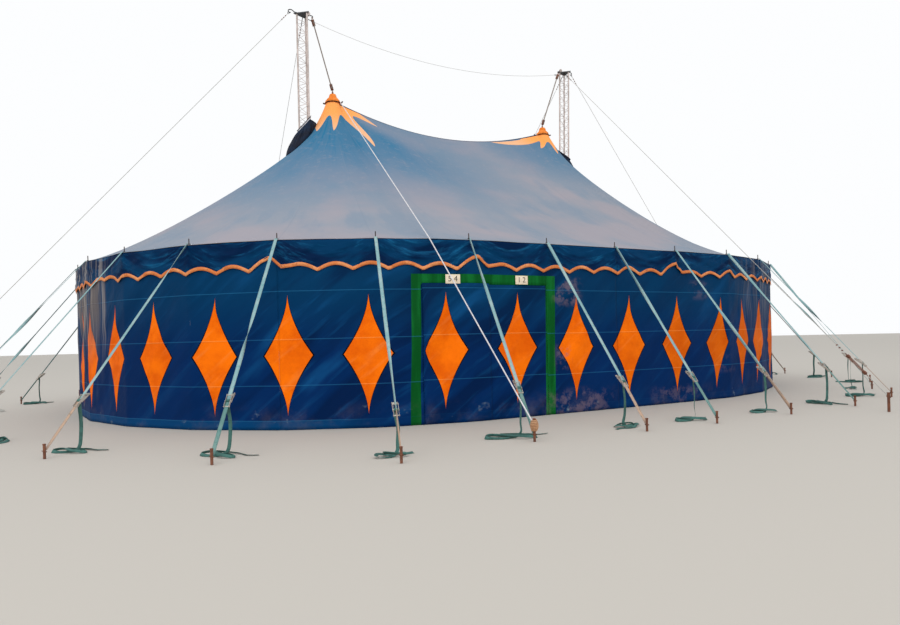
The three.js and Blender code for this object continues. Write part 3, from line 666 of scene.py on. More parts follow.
# %% [markdown]
# What is sewn or welded on comes next: the flap at the foot, the diamonds, the green band and the
# weld lines. Each is laid over the cloth's colour, and adds a little to the relief, because a
# second layer of cloth stands up by its thickness. The weld lines are painted highlights along
# the raised welds, and the diamonds also get a painted highlight along the creases.

# %% Marks on the wall
# how strongly a weld line shows as a painted highlight and as relief
WELD_STRENGTH = 0.30
WELD_LINE = (0.003, 0.012)
DIAMOND_SEAM = 0.026


def wall_marks(tree, cloth, relief, along, height, patch, crease, drape):
    flap = add(tree, "Math", (height, WELDS[0]), operation="LESS_THAN")
    # the flap is paler left of the door
    bright_flap = add(tree, "MapRange", (along, -5.4, -4.2, 1.0, 0.1), **SMOOTH)
    flap = add(tree, "Math", (
        flap, add(tree, "Math", (bright_flap, 0.75), operation="MULTIPLY"),
    ), operation="MULTIPLY")
    cloth = add(tree, "Mix", {0: flap, 6: cloth, 7: FLAP_BLUE}, **COLOUR).outputs[2]
    edge = diamond(tree, along, height, DIAMOND_SEAM)
    inner = diamond(tree, along, height, 0.0)
    warm = shade_where(tree, patch, (0.35, 0.65), DIAMOND_ORANGE, DIAMOND_WORN)
    warm = shade_where(tree, along, (-0.8, 3.0, 0.0, 0.55), warm, DIAMOND_DULL)
    # painted highlight on the diamonds along the creases
    warm = shade_where(tree, crease, (0.54, 0.78, 0.0, 0.2), warm, DIAMOND_HIGHLIGHT)
    cloth = add(tree, "Mix", {0: edge, 6: cloth, 7: DIAMOND_EDGE}, **COLOUR).outputs[2]
    cloth = add(tree, "Mix", {0: inner, 6: cloth, 7: warm}, **COLOUR).outputs[2]
    relief = add(tree, "Math", (edge, 0.3, relief), operation="MULTIPLY_ADD")
    outer = doorway(tree, along, height, BAND_OUTER)
    opening = doorway(tree, along, height, BAND_INNER)
    band = add(tree, "Math", (
        outer, add(tree, "Math", (1.0, opening), operation="SUBTRACT"),
    ), operation="MULTIPLY")
    green = shade_where(tree, drape, (0.40, 0.62), BAND_GREEN, BAND_LIGHT)
    cloth = add(tree, "Mix", {0: band, 6: cloth, 7: green}, **COLOUR).outputs[2]
    relief = add(tree, "Math", (band, 0.3, relief), operation="MULTIPLY_ADD")
    for weld in WELDS:
        off = apart(tree, height, weld)
        line = add(tree, "MapRange", (off, WELD_LINE[0], WELD_LINE[1], WELD_STRENGTH, 0.0), **SMOOTH)
        if weld == WELDS[0]:
            line = add(tree, "Math", (line, bright_flap), operation="MULTIPLY")
        # a weld line's colour is a painted highlight: pale blue on the wall, pale orange on a diamond
        pale = add(tree, "Mix", {0: inner, 6: WELD_HIGHLIGHT_BLUE, 7: DIAMOND_HIGHLIGHT}, **COLOUR).outputs[2]
        cloth = add(tree, "Mix", {0: line, 6: cloth, 7: pale}, **COLOUR).outputs[2]
        relief = add(tree, "Math", (relief, line), operation="ADD")
    return cloth, relief


print("weld lines at", WELDS, "m")

# %% [markdown]
# Then the dirt: mud splashed up from the ground, grey-brown stains, the worst of them beside the
# door, pale smudges near the foot, and the washed ends. A stain is a soft-edged field on the wall,
# broken up by a noise. The splashes reach half a metre high, as rain throws them.

# %% Dirt on the wall
SPLASH_HEIGHT = 0.5
# middle along the tent, half width, lowest and highest edge, strength
STAINS = ((-1.02, 0.40, 1.85, 2.50, 0.55), (-1.12, 0.22, 0.70, 1.30, 0.50),
          (-0.75, 1.00, -0.20, 0.50, 0.45), (1.70, 0.90, -0.10, 0.40, 0.30),
          (2.30, 0.35, 2.00, 2.50, 0.25), (3.30, 0.60, 0.50, 0.95, 0.20))


def wall_dirt(tree, cloth, along, height, patch, uv):
    low = add(tree, "MapRange", (height, 0.0, SPLASH_HEIGHT, 1.0, 0.0), **SMOOTH)
    splash = add(tree, "Math", (
        low, add(tree, "MapRange", (patch, 0.48, 0.72, 0.0, 0.32), **SMOOTH),
    ), operation="MULTIPLY")
    cloth = add(tree, "Mix", {0: splash, 6: cloth, 7: DUST}, **COLOUR).outputs[2]
    blotch = add(tree, "TexNoise", {"Vector": uv, "Scale": 3.2, "Detail": 6.0, "Roughness": 0.7})
    spot = add(tree, "MapRange", (blotch, 0.47, 0.60), **SMOOTH)
    for centre, half_width, bottom, top, strength in STAINS:
        field = patch_mask(tree, along, height, centre, half_width, bottom, top)
        mask = add(tree, "Math", (field, spot), operation="MULTIPLY")
        cloth = add(tree, "Mix", {
            0: add(tree, "Math", (mask, strength), operation="MULTIPLY"), 6: cloth, 7: STAIN,
        }, **COLOUR).outputs[2]
    smudge = add(tree, "MapRange", (
        add(tree, "TexNoise", {"Vector": uv, "Scale": 2.3, "Detail": 4.0, "Roughness": 0.6}), 0.62, 0.72,
    ), **SMOOTH)
    smudge = add(tree, "Math", (
        smudge, add(tree, "MapRange", (height, 0.45, 0.15, 0.0, 0.6), **SMOOTH),
    ), operation="MULTIPLY")
    cloth = add(tree, "Mix", {0: smudge, 6: cloth, 7: SMUDGE}, **COLOUR).outputs[2]
    washed = ends_share(tree, along, RIGHT_ON_WALL)
    fading = add(tree, "Math", (
        washed, add(tree, "MapRange", (height, 0.9, 2.3, 0.0, 0.9), **SMOOTH),
    ), operation="MULTIPLY")
    cloth = add(tree, "Mix", {
        0: add(tree, "Math", (fading, streaks(tree, uv, 7.0, 0.38, 0.56)), operation="MULTIPLY"), 6: cloth,
        7: END_GREY,
    }, **COLOUR).outputs[2]
    return add(tree, "Mix", {
        0: add(tree, "Math", (fading, streaks(tree, uv, 13.0, 0.56, 0.66)), operation="MULTIPLY"), 6: cloth,
        7: END_PALE,
    }, **COLOUR).outputs[2]


print("stains:", len(STAINS))

# %% [markdown]
# Under the marks and the dirt lie painted shade and painted highlights of the folds, as darker
# and paler blue. On the wall soft slanting folds rise to the right, strongest at the door and to
# the left of it. On the valance creases fall away from each pole and level out in the middle of
# the bay. Both are noises that are stretched along the fold: soft folds are 0.5 m across on the
# wall and 0.2 m on the valance, and the creases on both about 0.1 m.

# %% Tones and painted fold shade of the wall
WALL_FOLD_TURN = -0.7


def wall_tone_and_painted_fold_light(tree, uv, along, height):
    lean = add(tree, "VectorRotate", {"Vector": uv, "Angle": WALL_FOLD_TURN}, rotation_type="Z_AXIS")
    broad = drawn_out(tree, lean, (0.42, 2.0, 1.0), 3.0, 0.5)
    crease = drawn_out(tree, lean, (0.9, 8.0, 1.0), 4.0, 0.5)
    left_of_door = add(tree, "MapRange", (along, -7.4, -5.8), **SMOOTH)
    folded = add(tree, "Math", (
        left_of_door, add(tree, "MapRange", (along, -1.6, -0.6, 1.0, 0.0), **SMOOTH),
    ), operation="MULTIPLY")
    folded = add(tree, "Math", (folded, 0.6, 0.4), operation="MULTIPLY_ADD")
    main = shade_where(tree, height, (1.1, 2.3), CANVAS_LOW, CANVAS_HIGH)
    # painted shade in the folds, then painted highlights on the folds and on their fine creases
    dark = add(tree, "Math", (
        add(tree, "MapRange", (broad, 0.54, 0.38, 0.0, 0.6), **SMOOTH), folded,
    ), operation="MULTIPLY")
    bright = add(tree, "Math", (
        add(tree, "MapRange", (broad, 0.56, 0.74, 0.0, 0.7), **SMOOTH), folded,
    ), operation="MULTIPLY")
    painted_crease_highlight = add(tree, "Math", (
        add(tree, "MapRange", (crease, 0.56, 0.72, 0.0, 0.3), **SMOOTH), folded,
    ), operation="MULTIPLY")
    cloth = add(tree, "Mix", {0: dark, 6: main, 7: FOLD_SHADE_BLUE}, **COLOUR).outputs[2]
    cloth = add(tree, "Mix", {0: bright, 6: cloth, 7: FOLD_HIGHLIGHT_BLUE}, **COLOUR).outputs[2]
    return add(tree, "Mix", {0: painted_crease_highlight, 6: cloth, 7: FOLD_HIGHLIGHT_BLUE}, **COLOUR).outputs[2], crease


print("wall folds turned by", round(math.degrees(WALL_FOLD_TURN)), "degrees")

# %% [markdown]
# On the valance the distance from the nearest pole is bent into a wave, so that a straight
# drawn-out noise turns into painted crease shade and highlights that level out between the poles.

# %% Painted fold shade and washed ends of the valance
VALANCE_FOLD_TURN = 0.5


def valance_painted_fold_light_and_wash(tree, uv, along, height):
    off = add(tree, "Math", (
        add(tree, "Math", (along, FIRST_POLE), operation="SUBTRACT"), PITCH / 2,
    ), operation="PINGPONG")
    off = add(tree, "Math", {
        0: add(tree, "Math", (off, math.pi / PITCH), operation="MULTIPLY"),
    }, operation="SINE")
    off = add(tree, "Math", (off, PITCH / math.pi), operation="MULTIPLY")
    place = add(tree, "CombineXYZ", {
        0: off, 1: height, 2: add(tree, "Math", (along, 0.9), operation="MULTIPLY"),
    })
    lean = add(tree, "VectorRotate", {"Vector": place, "Angle": VALANCE_FOLD_TURN}, rotation_type="Z_AXIS")
    crease = drawn_out(tree, lean, (2.2, 10.0, 1.0), 5.0, 0.65)
    broad = drawn_out(tree, lean, (1.2, 4.5, 1.0), 3.0, 0.55)
    # painted shade of the soft folds, then painted highlights on the creases
    cloth = shade_where(tree, broad, (0.60, 0.38, 0.0, 0.8), CANVAS_HIGH, FOLD_SHADE_BLUE)
    cloth = shade_where(tree, crease, (0.52, 0.72, 0.0, 0.55), cloth, VALANCE_PAINTED_HIGHLIGHT)
    ends = ends_share(tree, along, RIGHT_ON_VALANCE)
    washed = add(tree, "Math", (ends, streaks(tree, uv, 6.0, 0.46, 0.60)), operation="MULTIPLY")
    return add(tree, "Mix", {
        0: add(tree, "Math", (washed, 0.75), operation="MULTIPLY"), 6: cloth, 7: END_PALE,
    }, **COLOUR).outputs[2], crease


print("valance creases turned by", round(math.degrees(VALANCE_FOLD_TURN)), "degrees")

# %% [markdown]
# The layers are put together in one function that makes both finishes. The real weave has threads
# 0.5 mm apart. It is drawn at 6 mm, because a finer one can't show even close by.

# %% Blue canvas finish
CANVAS_ROUGHNESS, CANVAS_SPECULAR = 0.6, 0.04
WEAVE_SCALE = 160.0
CANVAS_RELIEF = 0.010


def blue_canvas(name, is_wall):
    material, tree, shader = finish(name, CANVAS_ROUGHNESS, specular=CANVAS_SPECULAR)
    uv = add(tree, "UVMap", {}, uv_map="UVMap").outputs[0]
    parts = add(tree, "SeparateXYZ", {0: uv})
    along, height = parts.outputs[0], parts.outputs[1]
    drape = drawn_out(tree, uv, (5.0, 0.5, 1.0), 4.0, 0.6)
    patch = add(tree, "TexNoise", {"Vector": uv, "Scale": 1.3, "Detail": 5.0, "Roughness": 0.65})
    weave = add(tree, "TexNoise", {"Vector": uv, "Scale": WEAVE_SCALE, "Detail": 2.0, "Roughness": 0.7})
    if is_wall:
        cloth, crease = wall_tone_and_painted_fold_light(tree, uv, along, height)
        relief = add(tree, "Math", (
            add(tree, "Math", (crease, 0.5), operation="MULTIPLY"),
            add(tree, "Math", (drape, 0.4), operation="MULTIPLY"),
        ), operation="ADD")
        cloth, relief = wall_marks(tree, cloth, relief, along, height, patch, crease, drape)
        cloth = wall_dirt(tree, cloth, along, height, patch, uv)
    else:
        cloth, crease = valance_painted_fold_light_and_wash(tree, uv, along, height)
        relief = add(tree, "Math", (crease, 1.2), operation="MULTIPLY")
    relief = add(tree, "Math", (weave, 0.05, relief), operation="MULTIPLY_ADD")
    paint(
        tree, shader, cloth, add(tree, "MapRange", (patch, 0.3, 0.7, 0.5, 0.68), **SMOOTH), relief,
        CANVAS_RELIEF,
    )
    return material


wall_finish = blue_canvas("blue_wall_canvas", True)
valance_finish = blue_canvas("blue_valance_canvas", False)
print("blue canvas ready")

# %% [markdown]
# ## Small finishes
# Orange binding and cap cloth, woven straps that are teal above their ratchets and bleached tan
# below, painted, galvanised and rusty steel, wire rope and fibre rope. Each one mixes two or
# three shades by a fine noise, with a little relief at its real scale. Webbing and rope also
# get their weave from the UV map, which holds metres along and across them. The steps are the
# real ones: ribs 3 mm apart on webbing, and slanting strands 12 to 20 mm apart on rope. Ribs that
# fine show only close by.

# %% One recipe for small finishes
# the grooves between ribs and strands are darkened: painted shade
GROOVE_SHADOW = "#1E2A2A"
GROOVE_SHADOW_STRENGTH = 0.2
# the step between ribs or strands in metres, and their slant
WEBBING_RIBS, WIRE_STRANDS = (0.003, 0.0), (0.012, 0.6)
HOIST_STRANDS, ROPE_STRANDS = (0.016, 0.8), (0.02, 0.9)


def mottled(name, main, other, scale, roughness, metallic=0.0, third=None, ribs=None, specular=0.5):
    material, tree, shader = finish(name, roughness, metallic, specular)
    place = add(tree, "TexCoord", {}).outputs["Object"]
    coarse = add(tree, "TexNoise", {"Vector": place, "Scale": scale, "Detail": 5.0, "Roughness": 0.65})
    fine = add(tree, "TexNoise", {"Vector": place, "Scale": scale * 9, "Detail": 3.0, "Roughness": 0.6})
    colour = shade_where(tree, coarse, (0.4, 0.62), linear(main), linear(other))
    if third:
        colour = shade_where(tree, fine, (0.54, 0.68, 0.0, 0.7), colour, linear(third))
    relief = fine
    if ribs:
        step, slant = ribs
        parts = add(tree, "SeparateXYZ", {0: add(tree, "UVMap", {}, uv_map="UVMap").outputs[0]})
        slanted = add(tree, "Math", (parts.outputs[1], slant, parts.outputs[0]), operation="MULTIPLY_ADD")
        wave = add(tree, "Math", (slanted, step / 2), operation="PINGPONG")
        rib = add(tree, "MapRange", (wave, 0.0, step / 2), **SMOOTH)
        # painted shade in the grooves between the ribs or strands
        colour = add(tree, "Mix", {
            0: add(tree, "Math", (
                add(tree, "Math", (1.0, rib), operation="SUBTRACT"), GROOVE_SHADOW_STRENGTH,
            ), operation="MULTIPLY"),
            6: colour, 7: linear(GROOVE_SHADOW),
        }, **COLOUR).outputs[2]
        relief = add(tree, "Math", (rib, 1.5, fine), operation="MULTIPLY_ADD")
    rough = add(tree, "MapRange", (
        coarse, 0.35, 0.65, roughness - 0.08, min(1.0, roughness + 0.12),
    ), **SMOOTH)
    paint(tree, shader, colour, rough, relief, 0.001)
    return material


print("webbing ribs are", 1000 * WEBBING_RIBS[0], "mm apart")

# %% [markdown]
# Each finish is named for its real material, and the line over it says what the eye gets from
# that. The first two colours are mixed in patches, and the third one in fine flecks.

# %% Small finishes
# coated polyester canvas, sewn: matt, and chalky where the sun has bleached it
binding_finish = mottled("orange_binding", "#D2763E", "#E29460", 3.0, 0.75, third="#B0622F", specular=0.2)
cap_finish = mottled("orange_cap_cloth", "#F08A38", "#E27A28", 5.0, 0.7, third="#FFAA58", specular=0.2)
trim_finish = mottled("dark_brown_tape", "#3A2318", "#54331F", 12.0, 0.85, specular=0.1)
# coated canvas again, a newer and darker piece: the coating still has a faint sheen on its folds
sleeve_finish = mottled("dark_sleeve_cloth", "#0A1224", "#14253C", 3.0, 0.55, third="#060A14",
                        specular=0.15)
# steel tube in old oil paint: even and pale, dulled by rubbing
mast_finish = mottled("worn_mast_paint", "#D2C4BE", "#B8ACA6", 3.5, 0.6, 0.1, third="#A08A80")
# cut and bent steel, oiled: dark, with a broken metal shine
head_finish = mottled("dark_head_steel", "#3E4244", "#5A5E60", 12.0, 0.55, 0.5, third="#6E5A50")
# forged iron left outdoors: rough, brown and hardly shiny
rust_finish = mottled("rusty_iron", "#6B4332", "#8A5A44", 14.0, 0.85, 0.2, third="#4A2A20")
# hot-dip galvanised tube: a dull metal grey with cloudy patches
pole_finish = mottled("galvanised_pole", "#8E9294", "#A2A6A8", 8.0, 0.45, 0.7, third="#7A746E")
pin_finish = mottled("dark_pole_pin", "#3C3532", "#54463E", 20.0, 0.7, 0.4)
# wire rope of twisted zinc-coated strands: weathered pale grey, with slanting shadow lines
wire_finish = mottled("wire_rope", "#B4B3AE", "#C6C2BA", 30.0, 0.6, 0.1, ribs=WIRE_STRANDS)
# laid fibre ropes: matt and slightly hairy, white when new and tan where they are worn
hoist_finish = mottled("hoist_rope", "#A0948C", "#B4AAA2", 20.0, 0.85, ribs=HOIST_STRANDS)
rope_finish = mottled("white_fibre_rope", "#F0EEF0", "#DCD8DC", 25.0, 0.85, ribs=ROPE_STRANDS)
coil_finish = mottled("tan_fibre_rope", "#C08E66", "#D8A880", 18.0, 0.9, third="#8E6244",
                      ribs=ROPE_STRANDS)
# zinc-plated pressed steel: pale, half shiny, browned at the rivets
ratchet_finish = mottled("zinc_ratchet", "#C0BAB2", "#9A938A", 20.0, 0.45, 0.3, third="#7A5C48")
# painted sheet metal and brushed figures: smooth, a little yellowed
plate_finish = mottled("cream_plate", "#EBDCC4", "#E2D0B4", 9.0, 0.55, third="#C8B496")
ink_finish = mottled("dark_number", "#2A2622", "#38312B", 30.0, 0.6)
# woven polyester webbing: matt cross ribs, teal when new, bleached to tan by sun and ground
strap_finish = mottled("teal_webbing", "#88B2B6", "#A6C2C2", 2.2, 0.8, third="#62A0A8", ribs=WEBBING_RIBS)
green_finish = mottled("worn_teal_webbing", "#5E8C88", "#7A9E98", 2.2, 0.8, third="#4A7A76",
                       ribs=WEBBING_RIBS)
pale_finish = mottled("bleached_webbing", "#B49C8C", "#C8A890", 2.5, 0.85, third="#8A8478",
                      ribs=WEBBING_RIBS)
tail_finish = mottled("green_webbing", "#35635C", "#4A7C74", 5.0, 0.85, third="#24463F", ribs=WEBBING_RIBS)
print("finishes:", len(bpy.data.materials))

# %% [markdown]
# ## Helpers for pieces
# A piece starts as a bmesh, becomes an object at the origin with its place in its mesh, and
# rides on the tent's one body. A sheet of cloth starts as a flat grid. Every point of the grid
# knows how far along and how far down the cloth it is, and is then carried to its place.

# %% Piece helpers
SHARP = math.radians(38)


def keep(form, name, material, rigid=False):
    if rigid:
        bmesh.ops.recalc_face_normals(form, faces=form.faces)
    mesh = bpy.data.meshes.new(name)
    form.to_mesh(mesh)
    form.free()
    mesh.materials.append(material)
    mesh.shade_smooth()
    if rigid:
        mesh.set_sharp_from_angle(angle=SHARP)
    piece = link(bpy.data.objects.new(name, mesh))
    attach(piece, "root")
    return piece


def cloth_grid(columns, rows, carry, pattern):
    form = bmesh.new()
    layer = form.loops.layers.uv.new("UVMap")
    bmesh.ops.create_grid(form, x_segments=columns, y_segments=rows, size=0.5)
    for face in form.faces:
        for loop in face.loops:
            loop[layer].uv = pattern(loop.vert.co.x + 0.5, loop.vert.co.y + 0.5)
    for vert in form.verts:
        vert.co = carry(vert.co.x + 0.5, vert.co.y + 0.5)
    return form


def thicken(piece, depth):
    shell = piece.modifiers.new("cloth_thickness", "SOLIDIFY")
    shell.thickness = depth
    shell.offset = 0
    return piece


def area_of(piece):
    return sum(face.area for face in piece.data.polygons)


print("cloth helpers ready")

# %% [markdown]
# Fittings are put together from a few kinds of part. A rod runs from one point to another. A
# block is a cube with rounded edges. A hoop is a small circle that is spun round an axis. Ropes
# and straps are narrow grids that follow a path: round its line for a rope, across it for a
# strap. Their UV map holds metres, so that strands and ribs keep their size.

# %% Helpers for fittings
def towards(run):
    return run.to_track_quat("Z", "Y").to_matrix().to_4x4()


def rod(form, start, end, radius, sides=8, tip=None):
    run = end - start
    place = Matrix.Translation((start + end) / 2) @ towards(run)
    tip = radius if tip is None else tip
    bmesh.ops.create_cone(form, cap_ends=True, segments=sides, radius1=radius, radius2=tip,
                          depth=run.length, matrix=place)


def block(form, width, depth, height, place, rounding=0.0):
    made = bmesh.ops.create_cube(form, size=1, matrix=place @ Matrix.Diagonal((width, depth, height, 1)))
    if rounding:
        edges = list({edge for vert in made["verts"] for edge in vert.link_edges})
        bmesh.ops.bevel(form, geom=edges, affect="EDGES", offset=rounding, segments=2,
                        profile=0.5, material=-1)


def hoop(form, centre, axis, radius, wire, steps=16, sides=6):
    axis = axis.normalized()
    side = axis.orthogonal().normalized()
    place = Matrix.Translation(centre + side * radius) @ towards(axis.cross(side))
    made = bmesh.ops.create_circle(form, cap_ends=False, segments=sides, radius=wire, matrix=place)
    edges = list({edge for vert in made["verts"] for edge in vert.link_edges})
    bmesh.ops.spin(form, geom=made["verts"] + edges, cent=centre, axis=axis,
                   angle=2 * math.pi, steps=steps, use_merge=True)


print("rods, blocks and hoops ready")

# %% [markdown]
# A rope or a strap needs to know at each step where it is, which way it runs and which way is
# across, without twisting on its way.

# %% Ropes and straps along a path
def frames_along(path, across):
    frames = []
    for step, point in enumerate(path):
        run = (path[min(step + 1, len(path) - 1)] - path[max(step - 1, 0)]).normalized()
        across = (across - run * across.dot(run)).normalized()
        frames.append((point, run, across))
    return frames


def lengths_along(path):
    lengths = [0.0]
    for before, after in zip(path, path[1:]):
        lengths.append(lengths[-1] + (after - before).length)
    return lengths


def tube(form, path, radius, sides=8):
    layer = form.loops.layers.uv.verify()
    last = len(path) - 1
    first_run = path[1] - path[0]
    frames = frames_along(path, first_run.orthogonal())
    lengths = lengths_along(path)
    made = bmesh.ops.create_grid(form, x_segments=last, y_segments=sides, size=0.5)
    for vert in made["verts"]:
        step = round((vert.co.x + 0.5) * last)
        turn = 2 * math.pi * (vert.co.y + 0.5)
        for loop in vert.link_loops:
            loop[layer].uv = (lengths[step], turn * radius)
        point, run, across = frames[step]
        vert.co = point + (across * math.cos(turn) + run.cross(across) * math.sin(turn)) * radius
    bmesh.ops.remove_doubles(form, verts=made["verts"], dist=radius * 0.02)
    bmesh.ops.holes_fill(form, edges=[edge for edge in form.edges if edge.is_boundary], sides=sides)


def ribbon(form, path, width, across, rolls=None):
    layer = form.loops.layers.uv.verify()
    last = len(path) - 1
    frames = frames_along(path, across)
    lengths = lengths_along(path)
    made = bmesh.ops.create_grid(form, x_segments=last, y_segments=2, size=0.5)
    for vert in made["verts"]:
        step = round((vert.co.x + 0.5) * last)
        aside = vert.co.y * width
        for loop in vert.link_loops:
            loop[layer].uv = (lengths[step], aside)
        point, run, side = frames[step]
        if rolls:
            side = Quaternion(run, rolls[step]) @ side
        vert.co = point + side * aside


def smooth_path(points, per=6):
    path = []
    for step in range(len(points) - 1):
        before = points[max(step - 1, 0)]
        start, end = points[step], points[step + 1]
        after = points[min(step + 2, len(points) - 1)]
        for part in range(per):
            t = part / per
            bend = (before * -1 + start * 3 - end * 3 + after) * t ** 3
            bend += (before * 2 - start * 5 + end * 4 - after) * t ** 2
            path.append((bend + (end - before) * t + start * 2) * 0.5)
    return path + [points[-1]]


def straight(start, end, steps):
    return [start.lerp(end, step / steps) for step in range(steps + 1)]


print("fitting helpers ready")

# %% [markdown]
# ## Roof canvas
# On the real tent the roof is laced from a few sections, pulled up at the cupolas and hauled
# out by the side poles. It could be draped by a cloth simulation, but a stretched membrane is
# held by its gores, so its shape is known: one continuous grid is carried to the gores, and
# between them the cloth sags by a few centimetres. Faces inside the masts' holes are removed.

# %% Roof canvas
ROOF_COLUMNS = BAYS * 12
ROOF_ROWS = 46
GORE_SAG = 0.022
ROOF_CLOTH = 0.003
SLOPE_LENGTH = 7.6
MAST_HOLE = 0.19
# rows lie closer near the ridge and the cupolas, where the slope changes fastest
ROWS_BUNCHED = 1.6


def carry_roof(u, v):
    distance = FIRST_POLE + u * PERIMETER
    share = (1 - v) ** ROWS_BUNCHED
    point = roof_point(distance, share, 0.014)
    bay = (u * BAYS) % 1.0
    sag = GORE_SAG * 4 * bay * (1 - bay) * math.sin(math.pi * min(1.0, share * 1.05))
    turn = 2 * math.pi * u
    place = Vector((math.cos(turn) * 12.0, math.sin(turn) * 12.0, share * 3.0))
    ripple = 0.010 * noise.noise(place) * share
    return point - Vector((0, 0, sag - ripple - 0.001))


def roof_pattern(u, v):
    return (FIRST_POLE + u * PERIMETER, (1 - v) ** ROWS_BUNCHED * SLOPE_LENGTH)


form = cloth_grid(ROOF_COLUMNS, ROOF_ROWS, carry_roof, roof_pattern)
bmesh.ops.remove_doubles(form, verts=form.verts, dist=0.0005)
roof_surface = BVHTree.FromBMesh(form)


def in_mast_hole(face):
    centre = face.calc_center_median()
    side = 1 if centre.x > 0 else -1
    return (centre - mast_axis(side, centre.z)).length < MAST_HOLE


holes = [face for face in form.faces if in_mast_hole(face)]
bmesh.ops.delete(form, geom=holes, context="FACES")
bmesh.ops.recalc_face_normals(form, faces=form.faces)
roof = keep(form, "roof_canvas", roof_finish)
thicken(roof, ROOF_CLOTH)
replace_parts(roof, "roof_left", "roof_middle", "roof_right")

# %% [markdown]
# ## Walls
# The wall is hung in lengths between poles. The cloth is nearly flat, but it bows a little in
# each bay, hangs in soft upright folds where it has slack, is pulled into slanting folds by its
# own weight, and its foot is pushed in and out by the ground. Each length is a grid bent round
# the plan, with its folds from a noise that runs on from one length to the next, so that the
# joints match. At both ends of the tent, and most of all at the left one, the cloth has more slack
# and hangs in narrow pleats, so the pattern is gathered and leans there.

# %% Places and slips of the walls
WALL_OUTSIDE = -0.0097
WALL_TOP = 2.95
WALL_CLOTH = 0.002
DOOR_LEFT, DOOR_MIDDLE, DOOR_RIGHT, DOOR_HEIGHT = -3.83, -2.67, -1.49, 2.27
FOLD_SLOPE = math.radians(52)
POLE_GAP = 0.004
WALL_FOOT = 0.004
CURTAIN_RAISED = 0.02
WALL_COLUMN, WALL_ROW = 0.05, 0.06
PLEAT_STEP, PLEAT_DEPTH, RIGHT_PLEATS = 0.26, 0.014, 0.6
# how far the cloth has slipped along the tent, at places along the plan: gathered at both ends
SLIPS = ((-26.0, 0.0), (-20.0, 0.0), (-13.5, -0.50), (-11.6, -0.47), (-10.72, -0.10), (-9.62, 0.05),
         (-8.53, 0.21), (-7.21, 0.16), (-5.91, 0.15), (-4.31, 0.12), (-4.03, 0.02), (-3.83, 0.02),
         (-3.76, 0.12), (-2.93, 0.12), (-2.7, 0.02), (2.95, 0.0), (3.87, 0.31), (4.63, 0.80),
         (6.2, 0.48), (12.0, 0.0), (26.0, 0.0))
# how much the pattern leans to the left towards the ground, everywhere and at the right end
LEAN, RIGHT_LEAN = 0.02, 0.10
SEAM_LAP = 0.015


def from_front(distance):
    return (distance + PERIMETER / 2) % PERIMETER - PERIMETER / 2


def stretch_start(index):
    # the left half of the tent has negative distances, so the cloth runs on from back to front
    return pole_at(index) - (PERIMETER if index >= BAYS / 2 else 0)


def slip_at(distance):
    for (low, before), (high, after) in zip(SLIPS, SLIPS[1:]):
        if distance <= high:
            return before + (after - before) * (distance - low) / (high - low)
    return 0.0


def soft_step(value, low, high):
    share = min(1.0, max(0.0, (value - low) / (high - low)))
    return share * share * (3 - 2 * share)


def lean_at(distance, height):
    at_right = soft_step(distance, 1.6, 3.2) * (1 - soft_step(distance, 6.5, 9.0))
    from_tip = DIAMOND_MIDDLE + DIAMOND_HALF_HEIGHT - height
    return LEAN * from_tip + RIGHT_LEAN * at_right * (DIAMOND_MIDDLE - height)


print("largest slip of the pattern:", max(abs(slip) for place, slip in SLIPS), "m")

# %% [markdown]
# A fold is a distance in or out of the plan, told by the place on the cloth. Near a pole and
# under the valance the cloth is held, so the folds fade there.

# %% Folds of the walls
def pleats(distance, height):
    left, right = (soft_step(distance, end[0], end[1]) * (1 - soft_step(distance, end[2], end[3]))
                   for end in (LEFT_END, RIGHT_END))
    at_end = max(left, RIGHT_PLEATS * right)
    uneven = 3 * noise.noise(Vector((distance * 1.2, 0, 4.0)))
    deep = math.sin(distance * 2 * math.pi / PLEAT_STEP + uneven)
    return PLEAT_DEPTH * at_end * deep * (0.3 + 0.7 * height / WALL_TOP)


def wall_fold(distance, height):
    off = abs((distance - FIRST_POLE + PITCH / 2) % PITCH - PITCH / 2)
    open_bay = soft_step(off, 0.04, 0.45)
    under_valance = soft_step(height, 2.15, 2.5)
    free = math.sin(math.pi * min(1.0, max(0.0, height / WALL_TOP))) ** 0.7 * (1 - 0.8 * under_valance)
    across = distance * math.sin(FOLD_SLOPE) - height * math.cos(FOLD_SLOPE)
    along = distance * math.cos(FOLD_SLOPE) + height * math.sin(FOLD_SLOPE)
    broad = noise.noise(Vector((across * 1.9, along * 0.45, 5.0)))
    narrow = noise.noise(Vector((across * 4.6, along * 0.7, 9.0)))
    upright = noise.noise(Vector((distance * 2.6, height * 0.3, 2.0)))
    foot = noise.noise(Vector((distance * 3.2, 2.0, 1.0))) * max(0.0, 1 - height / 0.35)
    slack = (0.055 * broad + 0.016 * narrow + 0.010 * upright) * free * (0.25 + 0.75 * open_bay)
    slack += 0.010 * foot + pleats(distance, height) * free
    inwards = POLE_GAP + 0.035 * open_bay * (1 - under_valance)
    return max(-inwards, min(0.035 - 0.029 * under_valance, slack))


print("fold left of the door:", round(wall_fold(-4.5, 1.2), 3), "m")

# %% [markdown]
# One function hangs a length of wall. It also hangs the two curtains of the door, which overlap
# in the middle.

